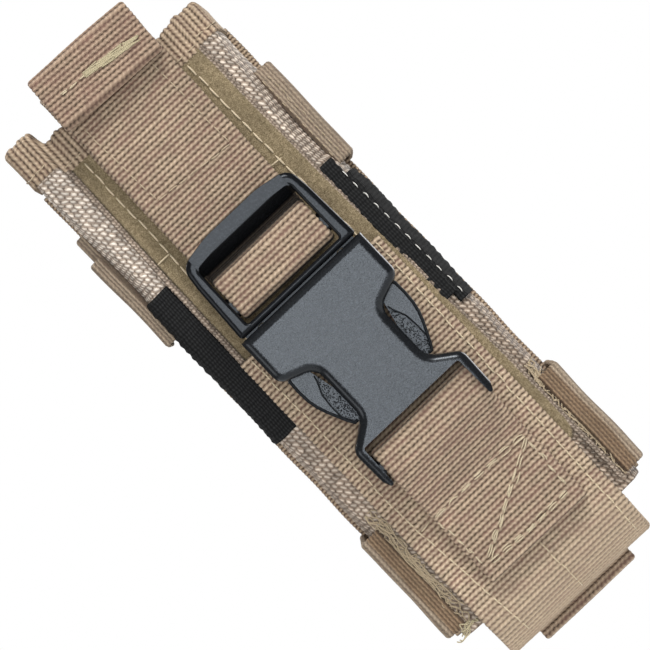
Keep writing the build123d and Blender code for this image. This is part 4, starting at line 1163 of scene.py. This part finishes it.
# bartacks and frayed thread that hold the lower band
for side, tag, xc_, sd in ((-1, "left", 21.0, 91), (1, "right", 22.0, 92)):
    lines = []
    for k, dx in enumerate((-0.55, 0.45)):
        pa, n_ = gpoint(side, 12.0, x=xc_ + dx, off=0.35)
        pb, _ = gpoint(side, 39.0, x=xc_ + dx + 0.3, off=0.35)
        lines += zigzag_lines(pa, pb, 0.70, 1.25, n_, 0.28, seed=sd + k, jit=0.55, lift=0.16)
    g_ = np.random.default_rng(sd)
    for k in range(30):
        z_a = g_.uniform(12, 38)
        ln = g_.uniform(4, 11)
        pa, n_ = gpoint(side, z_a, x=xc_ + g_.normal(0, 0.85), off=0.55)
        pb, _ = gpoint(side, min(41.5, z_a + ln), x=xc_ + g_.normal(0, 0.95), off=0.6)
        lines.append((wander(pa, pb, 0.55, sd * 100 + k), 0.11 + 0.07 * g_.random()))
    tubes("band_bartack_" + tag, lines, M_FRAY)
lines = []
for x_, y_ in ((23.1, -29.85), (24.7, -29.1)):
    lines += stitch_lines(np.array([[x_, y_, z_] for z_ in np.linspace(119.5, 98.0, 30)]), (0.4, -0.9, 0), pitch=1.9, gap=0.8, dia=0.20, seed=int(x_ * 10), lift=0.0)
tubes("band_stitches", lines, M_FRAY)
lines = []
for k in range(9):
    g_ = np.random.default_rng(300 + k)
    pa = np.array([-19.8 - g_.uniform(0, 2.5), -34.6, 11.5 + g_.uniform(-0.6, 1.0)])
    pb = pa + np.array([-g_.uniform(0.8, 4.2), -0.3 + g_.uniform(-0.4, 0.3), g_.uniform(-1.7, 0.4)])
    lines.append((wander(pa, pb, 0.5, 400 + k), 0.13))
tubes("frayed_ends", lines, M_TACK)

# stitching on the back
lines = []
BY = 0.02
box = [(-10.2, 99.5), (-10.2, 118.0), (10.2, 118.0), (10.2, 99.5), (-10.2, 99.5)]
for a_, b_ in zip(box[:-1], box[1:]):
    lines += stitch_lines(line3([a_, b_], BY), (0, 1, 0), pitch=2.6, gap=0.4, dia=0.36, seed=int(101 + abs(a_[0]) + b_[1]))
lines += stitch_lines(line3([(-9.6, 100.1), (9.6, 117.4)], BY), (0, 1, 0), pitch=2.7, gap=0.4, dia=0.36, seed=111)
lines += stitch_lines(line3([(9.6, 100.1), (-9.6, 117.4)], BY), (0, 1, 0), pitch=2.7, gap=0.4, dia=0.36, seed=112)
tubes("anchor_stitches", lines, M_THREAD)
lines = []
for x_ in (-10.4, 10.0):
    lines += stitch_lines(line3([(x_, 91.0), (x_, 34.0)], BY), (0, 1, 0), pitch=3.0, gap=0.45, dia=0.32, seed=int(120 + x_))
lines += stitch_lines(line3([(-10.4, 33.6), (10.0, 33.6)], BY), (0, 1, 0), pitch=3.0, gap=0.45, dia=0.32, seed=123)
lines += stitch_lines(line3([(-11.6, 1.6), (11.2, 1.6)], BY), (0, 1, 0), pitch=3.0, gap=0.45, dia=0.34, seed=124)
tubes("molle_stitches", lines, M_THREAD, "molle")
lines = []
for x_ in (-22.3, 22.3):
    lines += stitch_lines(line3([(x_, 131.0), (x_, 122.6)], -5.68), (0, 1, 0), pitch=2.8, gap=0.4, dia=0.34, seed=int(130 + x_))
    lines += stitch_lines(line3([(x_, 93.6), (x_, 38.6)], -5.68), (0, 1, 0), pitch=2.8, gap=0.4, dia=0.34, seed=int(131 + x_))
    for z0_, z1_ in ((96.5, 120.0), (11.5, 36.5)):
        lines += zigzag_lines((x_, -1.93, z0_), (x_, -1.93, z1_), 0.5, 0.5, (0, 1, 0), 0.30, seed=int(140 + x_ + z0_))
tubes("back_stitches", lines, M_THREAD)

# ------------------------------------------------------------------ camera, light, floor
cam = bpy.data.cameras.new("camera")
cam.type = "PERSP"
cam.sensor_width = 36.0
cam.lens = 200.0
cam.clip_start = 0.01
cam.clip_end = 20.0
co = bpy.data.objects.new("camera", cam)
bpy.context.scene.collection.objects.link(co)
TILT = math.radians(43.45)
right = Vector((math.cos(TILT), 0, -math.sin(TILT)))
up = Vector((math.sin(TILT), 0, math.cos(TILT)))
back = Vector((0, -1, 0))
rot = Matrix((right, up, back)).transposed()
DIST = 0.1289 * 200.0 / 36.0
co.matrix_world = Matrix.Translation(Vector((-0.0015, -0.040 - DIST, (74.8 - Z0) / 1000))) @ rot.to_4x4()
bpy.context.scene.camera = co


def area(name, loc, target, size, watts, color=(1, 1, 1)):
    l = bpy.data.lights.new(name, "AREA")
    l.shape = "DISK"
    l.size = size
    l.energy = watts
    l.color = color
    o = bpy.data.objects.new(name, l)
    o.location = loc
    d = Vector(target) - Vector(loc)
    o.rotation_euler = d.to_track_quat("-Z", "Y").to_euler()
    bpy.context.scene.collection.objects.link(o)
    return o


mid = (0.0, -0.02, -0.036)
area("key", (0.55, -0.75, 0.90), mid, 0.50, 15.0)
area("front_fill", (-0.06, -1.55, 0.10), mid, 0.80, 15.5, (0.94, 0.97, 1.0))
area("left_fill", (-1.1, -0.5, 0.15), mid, 0.7, 3.0)
area("back_key", (-0.5, 1.1, 0.9), mid, 0.7, 16.0)
area("back_fill", (0.9, 1.0, -0.05), mid, 0.8, 8.0)

w = bpy.data.worlds.new("world")
bpy.context.scene.world = w
w.use_nodes = True
nt = w.node_tree
nt.nodes.clear()
out = nt.nodes.new("ShaderNodeOutputWorld")
mixs = nt.nodes.new("ShaderNodeMixShader")
lp = nt.nodes.new("ShaderNodeLightPath")
amb = nt.nodes.new("ShaderNodeBackground")
amb.inputs[0].default_value = (0.96, 0.98, 1.0, 1)
amb.inputs[1].default_value = 0.12
bg = nt.nodes.new("ShaderNodeBackground")
bg.inputs[0].default_value = (1, 1, 1, 1)
bg.inputs[1].default_value = 1.0
nt.links.new(lp.outputs["Is Camera Ray"], mixs.inputs[0])
nt.links.new(amb.outputs[0], mixs.inputs[1])
nt.links.new(bg.outputs[0], mixs.inputs[2])
nt.links.new(mixs.outputs[0], out.inputs[0])

n = 64
th = np.linspace(0, 2 * math.pi, n, endpoint=False)
disc = np.concatenate([np.stack([750 * np.cos(th), 750 * np.sin(th), np.full(n, -300.0 + Z0)], 1),
                       np.stack([750 * np.cos(th), 750 * np.sin(th), np.full(n, -302.0 + Z0)], 1)])
fm = Mat("floor")
fn = fm.noise(fm.obj(), 6.0, 3.0)
fm.done(fm.scale(fm.ramp(fn, [(0.3, (0.80, 0.80, 0.80)), (0.7, (0.84, 0.84, 0.84))]), 1.0), 0.75, spec=0.2)
floor = make("floor", disc, [np.stack([np.arange(n), (np.arange(n) + 1) % n, n + (np.arange(n) + 1) % n, n + np.arange(n)], 1),
                             np.arange(n)[::-1].copy(), n + np.arange(n)], None, fm.m, None)

sc = bpy.context.scene
sc.view_settings.view_transform = "Standard"
sc.view_settings.look = "None"
sc.view_settings.exposure = 0.0
sc.view_settings.gamma = 1.0
